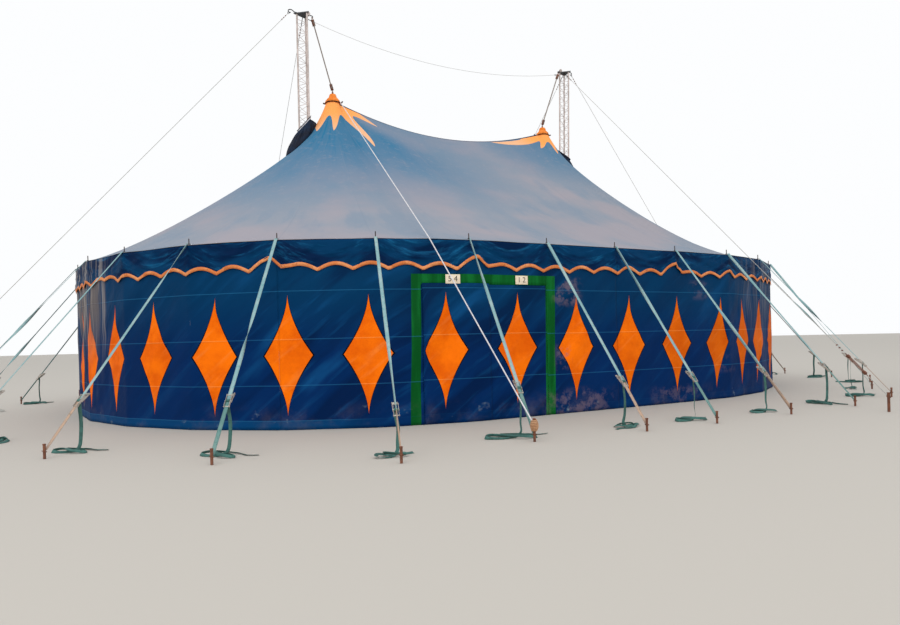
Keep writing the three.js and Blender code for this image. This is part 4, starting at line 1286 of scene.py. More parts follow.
# %% Walls and curtains
def wall_sheet(name, start, end, low, high, node, lap=0.0, raised=0.0):
    length = end - start
    columns = max(8, round(length / WALL_COLUMN))
    rows = max(6, round((high - low) / WALL_ROW))

    def carry(u, v):
        distance = start + u * length
        height = low + v * (high - low)
        spot = plan_point(distance, WALL_OUTSIDE + wall_fold(distance, height) + lap)
        return Vector((spot.x, spot.y, height))

    def pattern(u, v):
        distance, height = start + u * length, low + v * (high - low)
        return (distance + slip_at(distance) + lean_at(distance, height), height - raised)

    piece = keep(cloth_grid(columns, rows, carry, pattern), name, wall_finish)
    thicken(piece, WALL_CLOTH)
    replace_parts(piece, node)
    return piece


for count, stretch in enumerate(SETS[:-1]):
    # every other length is a little longer and lies behind its neighbours' ends
    extra, lap = (0, 0.0) if count % 2 else (SEAM_LAP, -0.0012)
    start = stretch_start(4 * count)
    wall_sheet("wall_cloth_" + stretch, start - extra, start + 4 * PITCH + extra, WALL_FOOT, WALL_TOP,
               "wall_" + stretch, lap)
wall_sheet("wall_cloth_front_left", pole_at(28 - BAYS), DOOR_LEFT, WALL_FOOT, WALL_TOP,
           "wall_front_left")
wall_sheet("wall_cloth_beside_door", DOOR_RIGHT, pole_at(0), WALL_FOOT, WALL_TOP,
           "wall_beside_door")
wall_sheet("wall_cloth_over_door", DOOR_LEFT, DOOR_RIGHT, DOOR_HEIGHT, WALL_TOP,
           "wall_over_door")
# the curtains overlap in the middle, and their pattern sits a little higher than the walls'
CURTAIN_TOP = DOOR_HEIGHT + CURTAIN_RAISED
wall_sheet("curtain_cloth_left", DOOR_LEFT, DOOR_MIDDLE + 0.03, WALL_FOOT, CURTAIN_TOP,
           "door_curtain_left", lap=0.004, raised=CURTAIN_RAISED)
wall_sheet("curtain_cloth_right", DOOR_MIDDLE, DOOR_RIGHT, WALL_FOOT, CURTAIN_TOP,
           "door_curtain_right", lap=-0.003, raised=CURTAIN_RAISED)

# %% [markdown]
# ## Valance
# A short skirt hangs under the eave to keep rain out of the gap. Its foot is cut in arches, not
# quite three to a bay, with an orange binding sewn over the edge. The cloth is creased all over,
# waves gently, and is rucked up where a strap has caught it. The binding is its own narrow strip
# that wraps the edge.

# %% Shape of the valance
SCALLOP_STEP = PERIMETER / 89
SCALLOP_FIRST = -0.43
SCALLOP_CUSP = 2.495
SCALLOP_CREST = 2.588
VALANCE_TOP = 2.9917
VALANCE_OUTSIDE = 0.008
VALANCE_CLOTH = 0.003
BINDING_WIDTH = 0.058
BINDING_CLOTH = 0.006
# where the foot is rucked up along the plan, by how much, and how far to each side
RUCKS = ((-6.22, 0.13, 0.35), (-2.87, 0.13, 0.36), (0.40, 0.04, 0.25), (1.62, 0.15, 0.42),
         (3.30, 0.06, 0.30), (14.2, 0.08, 0.3), (22.0, 0.10, 0.35), (29.8, 0.08, 0.3), (40.0, 0.07, 0.35))


def ruck_at(distance):
    lift = 0.0
    for middle, rise, reach in RUCKS:
        off = abs(from_front(distance - middle))
        lift += rise * max(0.0, 1 - off / reach) ** 1.3
    return lift


def valance_foot(distance):
    place = ((distance - SCALLOP_FIRST) / SCALLOP_STEP) % 1.0
    arch = math.sin(math.pi * place)
    slack = 0.012 * noise.noise(Vector((distance * 1.3, 4.0, 2.0)))
    return SCALLOP_CUSP + (SCALLOP_CREST - SCALLOP_CUSP) * arch + ruck_at(distance) + slack


def valance_wave(distance, hang, height):
    wave = noise.noise(Vector((distance * 3.4, 0.0, 3.0)))
    slow = noise.noise(Vector((distance * 0.9, 0.0, 8.0)))
    crease = abs(noise.noise(Vector((distance * 2.4 + height * 6.0, height * 5.0 - distance, 1.0))))
    cross = abs(noise.noise(Vector((distance * 3.4 - height * 8.0, height * 4.0 + distance, 6.0))))
    small = noise.noise(Vector((distance * 9.0, height * 14.0, 4.0)))
    bunch = ruck_at(distance) * abs(noise.noise(Vector((distance * 9.0, height * 7.0, 2.0)))) * 0.4
    edge = 4 * hang * (1 - hang)
    swing = hang * (0.016 * wave + 0.008 * slow + 0.010)
    return swing + edge * (0.012 - 0.034 * (crease + cross) + 0.006 * small + bunch)


def valance_point(distance, height):
    hang = min(1.0, (VALANCE_TOP - height) / (VALANCE_TOP - SCALLOP_CUSP))
    spot = plan_point(distance, VALANCE_OUTSIDE + max(-0.006, valance_wave(distance, hang, height)))
    return Vector((spot.x, spot.y, height))


print("arches round the tent:", round(PERIMETER / SCALLOP_STEP))

# %% [markdown]
# The valance comes in four lengths, each with its binding as a piece of its own.

# %% Valance and its binding
QUARTERS = ("front_right", "back_right", "back_left", "front_left")
VALANCE_COLUMNS, VALANCE_ROWS = 8 * 42, 14
for count, quarter in enumerate(QUARTERS):
    start = stretch_start(8 * count)
    length = 8 * PITCH

    def carry(u, v):
        distance = start + u * length
        foot = valance_foot(distance)
        return valance_point(distance, foot + v * (VALANCE_TOP - foot))

    def carry_binding(u, v):
        distance = start + u * length
        foot = valance_foot(distance)
        return valance_point(distance, foot - 0.003 + v * BINDING_WIDTH)

    def pattern(u, v):
        foot = valance_foot(start + u * length)
        return (start + u * length, foot + v * (VALANCE_TOP - foot))

    binding = keep(cloth_grid(VALANCE_COLUMNS, 2, carry_binding, pattern), "valance_binding_" + quarter,
                   binding_finish)
    thicken(binding, BINDING_CLOTH)
    piece = keep(cloth_grid(VALANCE_COLUMNS, VALANCE_ROWS, carry, pattern), "valance_cloth_" + quarter,
                 valance_finish)
    area = area_of(piece)
    thicken(piece, VALANCE_CLOTH)
    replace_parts(piece, "valance_" + quarter)
    print("valance", quarter, "area", round(area, 2), "m2")

# %% [markdown]
# ## Number plates
# Two small cream plates with plain numbers are sewn on the door band, one over each curtain.
# The figures are Blender text, turned into a mesh, stood upright and moved to the wall.

# %% Number plates
PLATE_WIDTH, PLATE_HEIGHT, PLATE_DEPTH = 0.25, 0.15, 0.004
PLATE_MIDDLE = 2.355
PLATE_OUTSIDE = 0.010
FIGURE_SIZE = 0.13


def wall_stand(distance, height, outside):
    spot = plan_point(distance, outside)
    run = (plan_point(distance + 0.1) - plan_point(distance - 0.1)).normalized()
    out = Vector((run.y, -run.x, 0))
    basis = Matrix((Vector((run.x, run.y, 0)), UP, out)).transposed().to_4x4()
    return Matrix.Translation((spot.x, spot.y, height)) @ basis


for number, distance in (("54", -3.31), ("12", -2.01)):
    stand = wall_stand(distance, PLATE_MIDDLE, PLATE_OUTSIDE)
    form = bmesh.new()
    block(form, PLATE_WIDTH, PLATE_HEIGHT, PLATE_DEPTH, stand, 0.0015)
    keep(form, "number_plate_" + number, plate_finish, rigid=True)
    letters = bpy.data.curves.new("figures_" + number, "FONT")
    letters.body = number[0] + " " + number[1]
    letters.size = FIGURE_SIZE
    letters.align_x = "CENTER"
    letters.align_y = "CENTER"
    letters.extrude = 0.0008
    drawn = bpy.data.objects.new("figures_" + number, letters)
    form = bmesh.new()
    form.from_mesh(bpy.data.meshes.new_from_object(drawn))
    bmesh.ops.remove_doubles(form, verts=form.verts, dist=0.00001)
    proud = Matrix.Translation((0, 0, PLATE_DEPTH / 2 + 0.0006))
    bmesh.ops.transform(form, matrix=stand @ proud, verts=form.verts)
    bpy.data.objects.remove(drawn)
    keep(form, "plate_figures_" + number, ink_finish, rigid=True)
print("two number plates,", PLATE_WIDTH, "by", PLATE_HEIGHT, "m")

# %% [markdown]
# ## Side poles
# Inside the wall stand galvanised tubes, one to a bay, on small foot plates. A thinner pin on
# each goes up through an eyelet in the roof's edge and shows above it. Webbing runs from pole to
# pole under the eave and carries the wall. Tubes are turned shapes, so rods do them.

# %% Side poles and their webbing
POLE_RADIUS = 0.020
POLE_TOP = 2.975
PIN_RADIUS, PIN_TOP = 0.0085, 3.115
PIN_HOOP = 3.026
FOOT_PLATE = 0.09
WEBBING_LOW, WEBBING_HIGH = 2.895, 2.945
WEBBING_OUTSIDE = -0.018
STRAP_CLOTH = 0.004


def side_pole(form, index):
    spot = pole_place(index, POLE_LINE)
    at = Vector((spot.x, spot.y, 0))
    rod(form, at + UP * 0.004, at + UP * POLE_TOP, POLE_RADIUS, 16)
    block(form, FOOT_PLATE, FOOT_PLATE, 0.006, Matrix.Translation(at + UP * 0.004), 0.001)


def pole_pin(form, index):
    spot = pole_place(index, POLE_LINE)
    at = Vector((spot.x, spot.y, 0))
    rod(form, at + UP * (POLE_TOP - 0.02), at + UP * (PIN_TOP - 0.006), PIN_RADIUS, 10)
    rod(form, at + UP * (PIN_TOP - 0.006), at + UP * PIN_TOP, PIN_RADIUS, 10, PIN_RADIUS * 0.6)
    hoop(form, at + UP * PIN_HOOP, UP, 0.020, 0.004, 14, 6)


for count, name in enumerate(SETS):
    poles, pins, band = bmesh.new(), bmesh.new(), bmesh.new()
    for index in range(4 * count, 4 * count + 4):
        side_pole(poles, index)
        pole_pin(pins, index)
        path = []
        for share in (0.0, 0.25, 0.5, 0.75, 1.0):
            spot = plan_point(pole_at(index + share), WEBBING_OUTSIDE)
            path.append(Vector((spot.x, spot.y, (WEBBING_LOW + WEBBING_HIGH) / 2)))
        ribbon(band, path, WEBBING_HIGH - WEBBING_LOW, UP)
    tubes = keep(poles, "pole_tubes_" + name, pole_finish, rigid=True)
    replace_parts(tubes, "side_poles_" + name)
    keep(pins, "pole_pins_" + name, pin_finish, rigid=True)
    thicken(keep(band, "eave_webbing_" + name, strap_finish), STRAP_CLOTH)
print("side poles:", BAYS)

# %% [markdown]
# ## Straps, ratchets and stakes
# A flat strap of 50 mm ties each pole's head to an iron stake. It is never pulled quite flat: it
# turns over once on its way, which is why it looks broad in one place and narrow in the next.
# Low down a ratchet tightens it, below which the strap is older and bleached. The spare end
# hangs from the ratchet to the ground and lies there in a loose heap. All of these are flat
# straps, so each is a ribbon along a path, rolled about the path where it turns over.

# %% Straps
STRAP_TOP, STRAP_BOTTOM = 3.024, 0.095
STRAP_LINE = 0.0
STRAP_WIDTH = 0.050
STRAP_STEPS = 28
RATCHET_AT = 0.80
LOW_RATCHETS = {29: 0.845}
TURN_HALF = 0.16
# roll at the top, roll at the bottom in half turns, and where between them it turns over
STRAP_TURNS = {27: (0.35, 0.0, 0.15), 28: (0.0, 1.0, 0.55), 29: (0.0, 0.42, 0.60), 30: (0.5, 0.0, 0.3),
               31: (0.2, 0.0, 0.2), 0: (0.5, 0.0, 0.35), 1: (0.0, 0.5, 0.5), 2: (0.3, 0.0, 0.25),
               3: (0.0, 1.0, 0.4), 4: (0.3, 0.0, 0.3)}


def strap_ends(index):
    spot = pole_place(index, STRAP_LINE)
    return Vector((spot.x, spot.y, STRAP_TOP)), stake_place(index) + UP * STRAP_BOTTOM


def strap_roll(index, share):
    start, end, middle = STRAP_TURNS.get(index, (0.0, index % 2, 0.3 + 0.1 * (index % 4)))
    return math.pi * (start + (end - start) * soft_step(share, middle - TURN_HALF, middle + TURN_HALF))


def guy_strap(form, index, low, high):
    top, bottom = strap_ends(index)
    shares = [low + (high - low) * step / STRAP_STEPS for step in range(STRAP_STEPS + 1)]
    level = UP.cross(bottom - top)
    rolls = [strap_roll(index, share) for share in shares]
    ribbon(form, [top.lerp(bottom, share) for share in shares], STRAP_WIDTH, level, rolls)


def ratchet_frame(index):
    top, bottom = strap_ends(index)
    run = (bottom - top).normalized()
    across = UP.cross(run).normalized()
    basis = Matrix((run, across, run.cross(across))).transposed().to_4x4()
    return Matrix.Translation(top.lerp(bottom, LOW_RATCHETS.get(index, RATCHET_AT))) @ basis


for index in (28, 30, 0):
    print("strap", index, "is", round((strap_ends(index)[0] - strap_ends(index)[1]).length, 2), "m long")

# %% [markdown]
# A ratchet is two pressed side plates with a slotted drum between them, a folded handle with its
# own pair of arms, and cross pins. The strap is wound on the drum, so a fat roll shows there.

# %% Ratchets
RATCHET_LENGTH = 0.20
RATCHET_HALF_WIDTH = 0.031
HANDLE_TILT = math.radians(12)
# places of the cross pins in the frame and in the handle, along it and above it
FRAME_PINS, HANDLE_PINS = ((-0.088, 0.0), (0.088, 0.0), (0.0, 0.0)), ((-0.152, -0.012),)


def ratchet(form, index):
    base = ratchet_frame(index)
    handle = base @ Matrix.Rotation(-HANDLE_TILT, 4, "Y")
    for side in (-1, 1):
        plate = base @ Matrix.Translation((0, side * RATCHET_HALF_WIDTH, 0))
        block(form, RATCHET_LENGTH, 0.003, 0.034, plate, 0.001)
        arm = handle @ Matrix.Translation((-0.075, side * (RATCHET_HALF_WIDTH + 0.006), -0.012))
        block(form, 0.17, 0.003, 0.026, arm, 0.001)
    reach = Vector((0, RATCHET_HALF_WIDTH + 0.009, 0))
    for holder, pins in ((base, FRAME_PINS), (handle, HANDLE_PINS)):
        for place, lift in pins:
            middle = Vector((place, 0, lift))
            rod(form, holder @ (middle - reach), holder @ (middle + reach), 0.008, 10)
    grip = handle @ Matrix.Translation((-0.142, 0, -0.012))
    block(form, 0.028, 2 * RATCHET_HALF_WIDTH, 0.010, grip, 0.003)


def strap_roll_on_drum(form, index):
    base = ratchet_frame(index)
    reach = Vector((0, STRAP_WIDTH / 2, 0))
    rod(form, base @ -reach, base @ reach, 0.019, 14)


print("ratchet,", RATCHET_LENGTH, "m long")

# %% [markdown]
# The spare end of each strap drops from the drum to the ground, touches down and doubles back
# on itself a few times. Its path is drawn as a short list of offsets from the drum's foot,
# stretched and turned a little differently at each stake by the stake's own number.

# %% Spare ends of the straps
TAIL_WIDTH = 0.046
HEAP = ((0.00, 0.02, 0.10), (0.05, 0.03, 0.030), (0.17, 0.07, 0.014), (0.30, 0.02, 0.035),
        (0.24, -0.06, 0.05), (0.08, -0.03, 0.026), (-0.06, 0.04, 0.045), (-0.10, 0.10, 0.030),
        (0.02, 0.11, 0.055), (0.16, 0.00, 0.070), (0.12, -0.11, 0.035), (-0.04, -0.12, 0.016),
        (-0.16, -0.05, 0.012), (-0.27, -0.07, 0.010))
# how far the heap is stretched and by how many degrees it is turned, at the stakes in full view
HEAP_SIZES = {27: (1.2, 200), 28: (1.3, 170), 29: (0.9, 200), 30: (1.7, 175), 31: (1.0, 10),
              0: (1.3, 180), 1: (1.2, 180)}


def strap_tail(form, index):
    drum = ratchet_frame(index).translation
    ground = Vector((drum.x, drum.y, 0))
    size, degrees = HEAP_SIZES.get(index, (0.9 + 0.15 * (index % 4), 47 * index % 360))
    facing = mitre(index).normalized()
    turn = Matrix.Rotation(math.atan2(facing.x, -facing.y) + math.radians(degrees), 3, "Z")
    drop = [drum - UP * 0.015, drum - UP * 0.10]
    sway = Vector((-facing.y, facing.x, 0)) * 0.02
    drop += [ground + UP * drum.z * 0.6 + sway, ground + UP * drum.z * 0.3 + sway * 0.5]
    heap = [ground + turn @ Vector((x * size, y * size, z * 0.8)) for x, y, z in HEAP]
    path = smooth_path(drop + heap, 6)
    across = Vector((-facing.y, facing.x, 0)) + Vector((facing.x, facing.y, 0)) * (index % 3 - 1) * 0.6
    rolls = []
    for step in range(len(path)):
        share = step / (len(path) - 1)
        rolls.append(1.9 * max(0.0, share - 0.25) + 0.5 * noise.noise(Vector((share * 6, index, 0))))
    ribbon(form, path, TAIL_WIDTH, across, rolls)
    for vert in form.verts:
        vert.co.z = max(vert.co.z, 0.004)


print("points in a heap:", len(HEAP))

# %% [markdown]
# The straps and their iron are gathered into a few pieces for each length of wall.

# %% Straps of each length of wall
for count, name in enumerate(SETS):
    upper, tan, teal, iron, rolled, tails = (bmesh.new() for part in range(6))
    for index in range(4 * count, 4 * count + 4):
        ratchet_share = LOW_RATCHETS.get(index, RATCHET_AT)
        guy_strap(upper, index, 0.0, ratchet_share)
        guy_strap(tan if index % 2 else teal, index, ratchet_share, 0.995)
        ratchet(iron, index)
        strap_roll_on_drum(rolled, index)
        strap_tail(tails, index)
    thicken(keep(upper, "straps_" + name, strap_finish), STRAP_CLOTH)
    thicken(keep(tan, "lower_straps_bleached_" + name, pale_finish), STRAP_CLOTH)
    thicken(keep(teal, "lower_straps_teal_" + name, green_finish), STRAP_CLOTH)
    keep(iron, "ratchets_" + name, ratchet_finish, rigid=True)
    keep(rolled, "strap_rolls_" + name, tail_finish, rigid=True)
    thicken(keep(tails, "strap_tails_" + name, tail_finish), 0.003)
print("straps, ratchets and tails:", BAYS)

# %% [markdown]
# A stake is a forged iron rod. Its head is mushroomed by the sledgehammer, and its strap ends in
# a ring that has slid down it.

# %% Stakes
STAKE_RADIUS, STAKE_TOP = 0.017, 0.19
# the stake that also holds the rope over the roof stands higher out of the ground
HIGH_STAKES = {30: 0.31}


def iron_stake(form, place, radius, top):
    rod(form, place + UP * 0.002, place + UP * (top - 0.02), radius, 14)
    rod(form, place + UP * (top - 0.02), place + UP * (top - 0.008), radius, 14, radius * 1.35)
    rod(form, place + UP * (top - 0.008), place + UP * top, radius * 1.35, 14, radius * 1.05)


for count, name in enumerate(SETS):
    form = bmesh.new()
    for index in range(4 * count, 4 * count + 4):
        place = stake_place(index)
        iron_stake(form, place, STAKE_RADIUS, HIGH_STAKES.get(index, STAKE_TOP))
        hoop(form, place + UP * STRAP_BOTTOM, UP + Vector((0.3, 0.2, 0)), STAKE_RADIUS + 0.010,
             0.005, 16, 6)
    keep(form, "stakes_" + name, rust_finish, rigid=True)
print("stakes:", BAYS)

# %% [markdown]
# ## Masts
# Each mast is a three-sided lattice of steel tube in worn pale paint. Three chords are laced
# with a zigzag of thin bars, a quarter of a metre from one peak to the next, and welded to a
# plate at the head and at the foot. It could be an array of one bay, but the mast leans, so each
# bar runs between two points on the chords instead.

# %% Masts
CHORD_RADIUS = 0.022
BAR_RADIUS = 0.005
BAR_RISE = 0.125
BASE_SIZE, BASE_HEIGHT = 0.48, 0.018
PLATE_REACH, PLATE_THICKNESS = 0.23, 0.022


def lattice(form, side):
    tall = MASTS[side][2]
    steps = int((tall - 0.10) / BAR_RISE)
    for chord in range(3):
        rod(form, chord_at(side, BASE_HEIGHT, chord), chord_at(side, tall - 0.02, chord), CHORD_RADIUS, 14)
        for step in range(steps):
            low, high = 0.03 + step * BAR_RISE, 0.03 + (step + 1) * BAR_RISE
            other = step % 2
            rod(form, chord_at(side, low, chord + other), chord_at(side, high, chord + 1 - other),
                BAR_RADIUS, 6)


def mast_base(form, side):
    foot = mast_axis(side, 0)
    place = Matrix.Translation(foot + UP * (BASE_HEIGHT / 2 + 0.001))
    block(form, BASE_SIZE, BASE_SIZE, BASE_HEIGHT, place, 0.002)
    for chord in range(3):
        at = chord_at(side, BASE_HEIGHT, chord)
        rod(form, at, at + UP * 0.03, CHORD_RADIUS + 0.008, 14)
    for x in (-1, 1):
        for y in (-1, 1):
            corner = foot + Vector((x, y, 0)) * BASE_SIZE * 0.42
            rod(form, corner + UP * BASE_HEIGHT, corner + UP * (BASE_HEIGHT + 0.014), 0.016, 6)


for side, name in ((-1, "left"), (1, "right")):
    form = bmesh.new()
    lattice(form, side)
    mast_base(form, side)
    piece = keep(form, "mast_lattice_" + name, mast_finish, rigid=True)
    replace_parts(piece, "mast_" + name)
print("lacing bars in a mast:", 3 * int((MASTS[-1][2] - 0.10) / BAR_RISE))

# %% [markdown]
# The head plate lies on the three chords. Bent hooks at its corners hold the end stay on the
# outside and the hoist on the inside, and eyes hold the other stays. A pale pulley wheel for the
# hauling rope stands on it. A hook is a tube along a curl, the pulley a spun wheel.

# %% Mast heads
STAYS = {
    "stay_left_end": (-1, (-11.9, -0.6), 0.33), "stay_left_back": (-1, (-3.8, 9.6), 0.0),
    "stay_right_end": (1, (11.9, 0.4), 0.25), "stay_right_front": (1, (3.0, -9.6), 0.0),
    "stay_right_back": (1, (3.8, 9.6), 0.0),
}
STAY_TIE = 0.25
EYE_ON_PLATE, EYE_ON_HOOK = 0.27, 0.06
HOIST_REACH = 0.225
HOOK_WIRE = 0.012
# the hook that carries the hoist, outwards from the mast and upwards from its head
HOIST_HOOK = ((-0.08, 0.014), (-0.16, 0.016), (-0.215, 0.012), (-0.240, -0.006), (-0.225, -0.026))
HEAD_CABLE_SIDE = 0.11
HEAD_CABLE_SAG = 0.45


def stay_root(name):
    side, foot, reach = STAYS[name]
    return head_point(side, reach)


def stay_tie(name):
    foot = STAYS[name][1]
    return Vector((foot[0], foot[1], STAY_TIE))


def point_towards(root, target, length):
    return root + (target - root).normalized() * length


def cable_root(side):
    point = head_point(side)
    return Vector((point.x, HEAD_CABLE_SIDE, point.z))


def cable_target(side):
    return cable_root(-side) - UP * 4 * HEAD_CABLE_SAG


def hook(form, side, outline):
    tube(form, smooth_path([head_point(side, x) + UP * z for x, z in outline], 4), HOOK_WIRE, 8)


def curled_hook(form, side, reach):
    hook(form, side, ((0.12, 0.012), (reach - 0.12, 0.020), (reach - 0.07, 0.050), (reach - 0.02, 0.062),
                      (reach + 0.025, 0.040), (reach + 0.030, 0.005), (reach + 0.005, -0.016),
                      (reach - 0.025, -0.008)))


def shackle_eye(form, root, target, length):
    tip = point_towards(root, target, length)
    rod(form, point_towards(root, target, length * 0.1), point_towards(root, target, length - 0.03),
        0.009, 8)
    axis = (target - root).cross(UP)
    hoop(form, point_towards(root, target, length - 0.012), axis, 0.020, 0.006, 14, 6)
    return tip


print("stays to hold:", len(STAYS))

# %% [markdown]
# The plate is a three-sided cone of one radius, turned so that its corners point out over the
# chords.

# %% Plates, hooks and pulleys
for side, name in ((-1, "left"), (1, "right")):
    form = bmesh.new()
    middle = head_point(side)
    turn = Matrix.Rotation(MAST_TURN - math.pi / 2, 4, "Z")
    bmesh.ops.create_cone(form, cap_ends=True, segments=3, radius1=PLATE_REACH, radius2=PLATE_REACH,
                          depth=PLATE_THICKNESS, matrix=Matrix.Translation(middle) @ turn)
    for stay, (stay_side, foot, reach) in STAYS.items():
        if stay_side == side and reach:
            curled_hook(form, side, reach)
        if stay_side == side:
            shackle_eye(form, stay_root(stay), stay_tie(stay), EYE_ON_HOOK if reach else EYE_ON_PLATE)
    shackle_eye(form, cable_root(side), cable_target(side), EYE_ON_PLATE)
    hook(form, side, HOIST_HOOK)
    keep(form, "mast_head_" + name, head_finish, rigid=True)
    form = bmesh.new()
    axle = head_point(side, -0.13) + UP * 0.052
    across = Vector((0, 1, 0))
    rod(form, axle - across * 0.012, axle + across * 0.012, 0.042, 24)
    hoop(form, axle - across * 0.012, across, 0.042, 0.006, 24, 6)
    hoop(form, axle + across * 0.012, across, 0.042, 0.006, 24, 6)
    for cheek in (-1, 1):
        place = Matrix.Translation(axle + across * cheek * 0.026 - UP * 0.012)
        block(form, 0.06, 0.005, 0.085, place, 0.002)
    keep(form, "head_pulley_" + name, mast_finish, rigid=True)
print("mast heads at", [MASTS[side][2] for side in (-1, 1)], "m")

# %% [markdown]
# ## Stays
# A stay is a wire rope, turned back round a thimble at each end and gripped by three clips, with
# a turnbuckle near the ground to tighten it. It is taut, so its path is a straight line. The
# real rope ends at a big stake that is driven deep.

# %% Stays
STAY_RADIUS = 0.0055
TURNBUCKLE = (0.55, 0.95)
CLIPS = (0.10, 0.17, 0.24)


def wire_stay(name):
    side, foot, reach = STAYS[name]
    tie = stay_tie(name)
    top = point_towards(stay_root(name), tie, EYE_ON_HOOK if reach else EYE_ON_PLATE)
    wire = bmesh.new()
    upper_end = point_towards(tie, top, TURNBUCKLE[1] + 0.05)
    tube(wire, straight(top, upper_end, 40), STAY_RADIUS, 8)
    lower_end = point_towards(tie, top, TURNBUCKLE[0] - 0.05)
    tube(wire, straight(lower_end, point_towards(tie, top, 0.03), 4), STAY_RADIUS, 8)
    piece = keep(wire, "wire_" + name, wire_finish, rigid=True)
    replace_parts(piece, name)
    iron = bmesh.new()
    run = (tie - top).normalized()
    aside = run.orthogonal().normalized()
    for clip in CLIPS:
        for start, way in ((top, 1), (upper_end, -1)):
            at = start + run * way * clip
            place = Matrix.Translation(at) @ towards(run)
            block(iron, 0.030, 0.022, 0.016, place, 0.002)
    for offset in (-0.016, 0.016):
        rod(iron, point_towards(tie, top, TURNBUCKLE[0] + 0.03) + aside * offset,
            point_towards(tie, top, TURNBUCKLE[1] - 0.03) + aside * offset, 0.006, 8)
    for share in TURNBUCKLE:
        at = point_towards(tie, top, share)
        place = Matrix.Translation(at) @ towards(run)
        block(iron, 0.046, 0.046, 0.06, place, 0.004)
        hoop(iron, point_towards(tie, top, share + (0.055 if share == TURNBUCKLE[1] else -0.055)), aside,
             0.018, 0.005, 14, 6)
    rod(iron, point_towards(tie, top, TURNBUCKLE[0]), point_towards(tie, top, TURNBUCKLE[1]), 0.007, 8)
    ground = Vector((foot[0], foot[1], 0))
    iron_stake(iron, ground, 0.022, 0.32)
    hoop(iron, ground + UP * STAY_TIE, UP + run * 0.4, 0.031, 0.007, 18, 6)
    keep(iron, "fittings_" + name, rust_finish, rigid=True)


print("turnbuckle", round(TURNBUCKLE[1] - TURNBUCKLE[0], 2), "m long")

# %% [markdown]
# The cable between the mast heads carries nothing and hangs slack, in a shallow curve.

# %% Stays and the cable between the heads
for name in STAYS:
    wire_stay(name)
start = point_towards(cable_root(-1), cable_target(-1), EYE_ON_PLATE)
end = point_towards(cable_root(1), cable_target(1), EYE_ON_PLATE)
path = []
for step in range(33):
    share = step / 32
    path.append(start.lerp(end, share) - UP * 4 * HEAD_CABLE_SAG * share * (1 - share))
form = bmesh.new()
tube(form, path, 0.004, 8)
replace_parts(keep(form, "cable_between_heads", wire_finish, rigid=True), "head_cable")
print("stays:", len(STAYS), "and a cable of", round(lengths_along(path)[-1], 2), "m between the heads")

# %% [markdown]
# ## Hoists
# Each cupola is hauled up by a tackle: a block under the mast head, a block over the cupola, and
# three parts of rope between them. A block is a pair of oval cheeks round a wheel, with a becket
# and a link at its end.

# %% Hoists
ROD_TOP = 7.60
BLOCK_LENGTH = 0.19
HOIST_LINK = 0.045
HOIST_ROPE = 0.008
ROPE_SPREAD = 0.020


def hoist_block(form, start, end):
    run = (end - start).normalized()
    along = Vector((0, 1, 0))
    basis = Matrix((run, along, run.cross(along))).transposed().to_4x4()
    middle = Matrix.Translation(start + run * BLOCK_LENGTH / 2) @ basis
    for side in (-1, 1):
        cheek = middle @ Matrix.Translation((0, 0, side * 0.022))
        block(form, BLOCK_LENGTH * 0.86, 0.072, 0.008, cheek, 0.0038)
    for place in (-0.045, 0.035):
        centre = middle @ Vector((place, 0, 0))
        axis = (middle.to_3x3() @ Vector((0, 0, 1))).normalized()
        rod(form, centre - axis * 0.016, centre + axis * 0.016, 0.030, 18)
        rod(form, centre - axis * 0.031, centre + axis * 0.031, 0.008, 10)


for side, name in ((-1, "left"), (1, "right")):
    top = head_point(side, -HOIST_REACH) - UP * 0.0145
    bottom = Vector((side * CUPOLA_X, 0, ROD_TOP))
    high, low = top - UP * HOIST_LINK, bottom + UP * HOIST_LINK
    ropes = bmesh.new()
    for offset in (-1, 0, 1):
        aside = Vector((0, offset * ROPE_SPREAD, 0))
        start = point_towards(high, low, 0.06) + aside
        end = point_towards(low, high, 0.06) + aside
        tube(ropes, straight(start, end, 24), HOIST_ROPE, 8)
    piece = keep(ropes, "hoist_ropes_" + name, hoist_finish, rigid=True)
    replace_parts(piece, "hoist_" + name)
    iron = bmesh.new()
    hoist_block(iron, high, low)
    hoist_block(iron, low, high)
    for start, end in ((top, high), (bottom, low)):
        rod(iron, start, end + (end - start).normalized() * 0.02, 0.008, 8)
        hoop(iron, start.lerp(end, 0.45), Vector((0, 1, 0)), 0.016, 0.006, 14, 6)
    keep(iron, "hoist_blocks_" + name, rust_finish, rigid=True)
    print("hoist", name, round((high - low).length, 2), "m between blocks")

# %% [markdown]
# ## Cupolas
# The canvas is clamped to a steel ring with two cross bars and a lifting rod. An orange cloth cap
# is tied over it to keep the rain out: it is pulled in round the rod at the top, lumpy where the
# ring and bars push through, and its hem flares. A dark tape runs round under the hem, and its
# ends stick out. The cap is a sheet, carried round from a grid of angle and height.

# %% Cupola rings
RING_INSIDE, RING_OUTSIDE, RING_HEIGHT = 0.132, 0.170, 0.034
ROD_RADIUS = 0.013

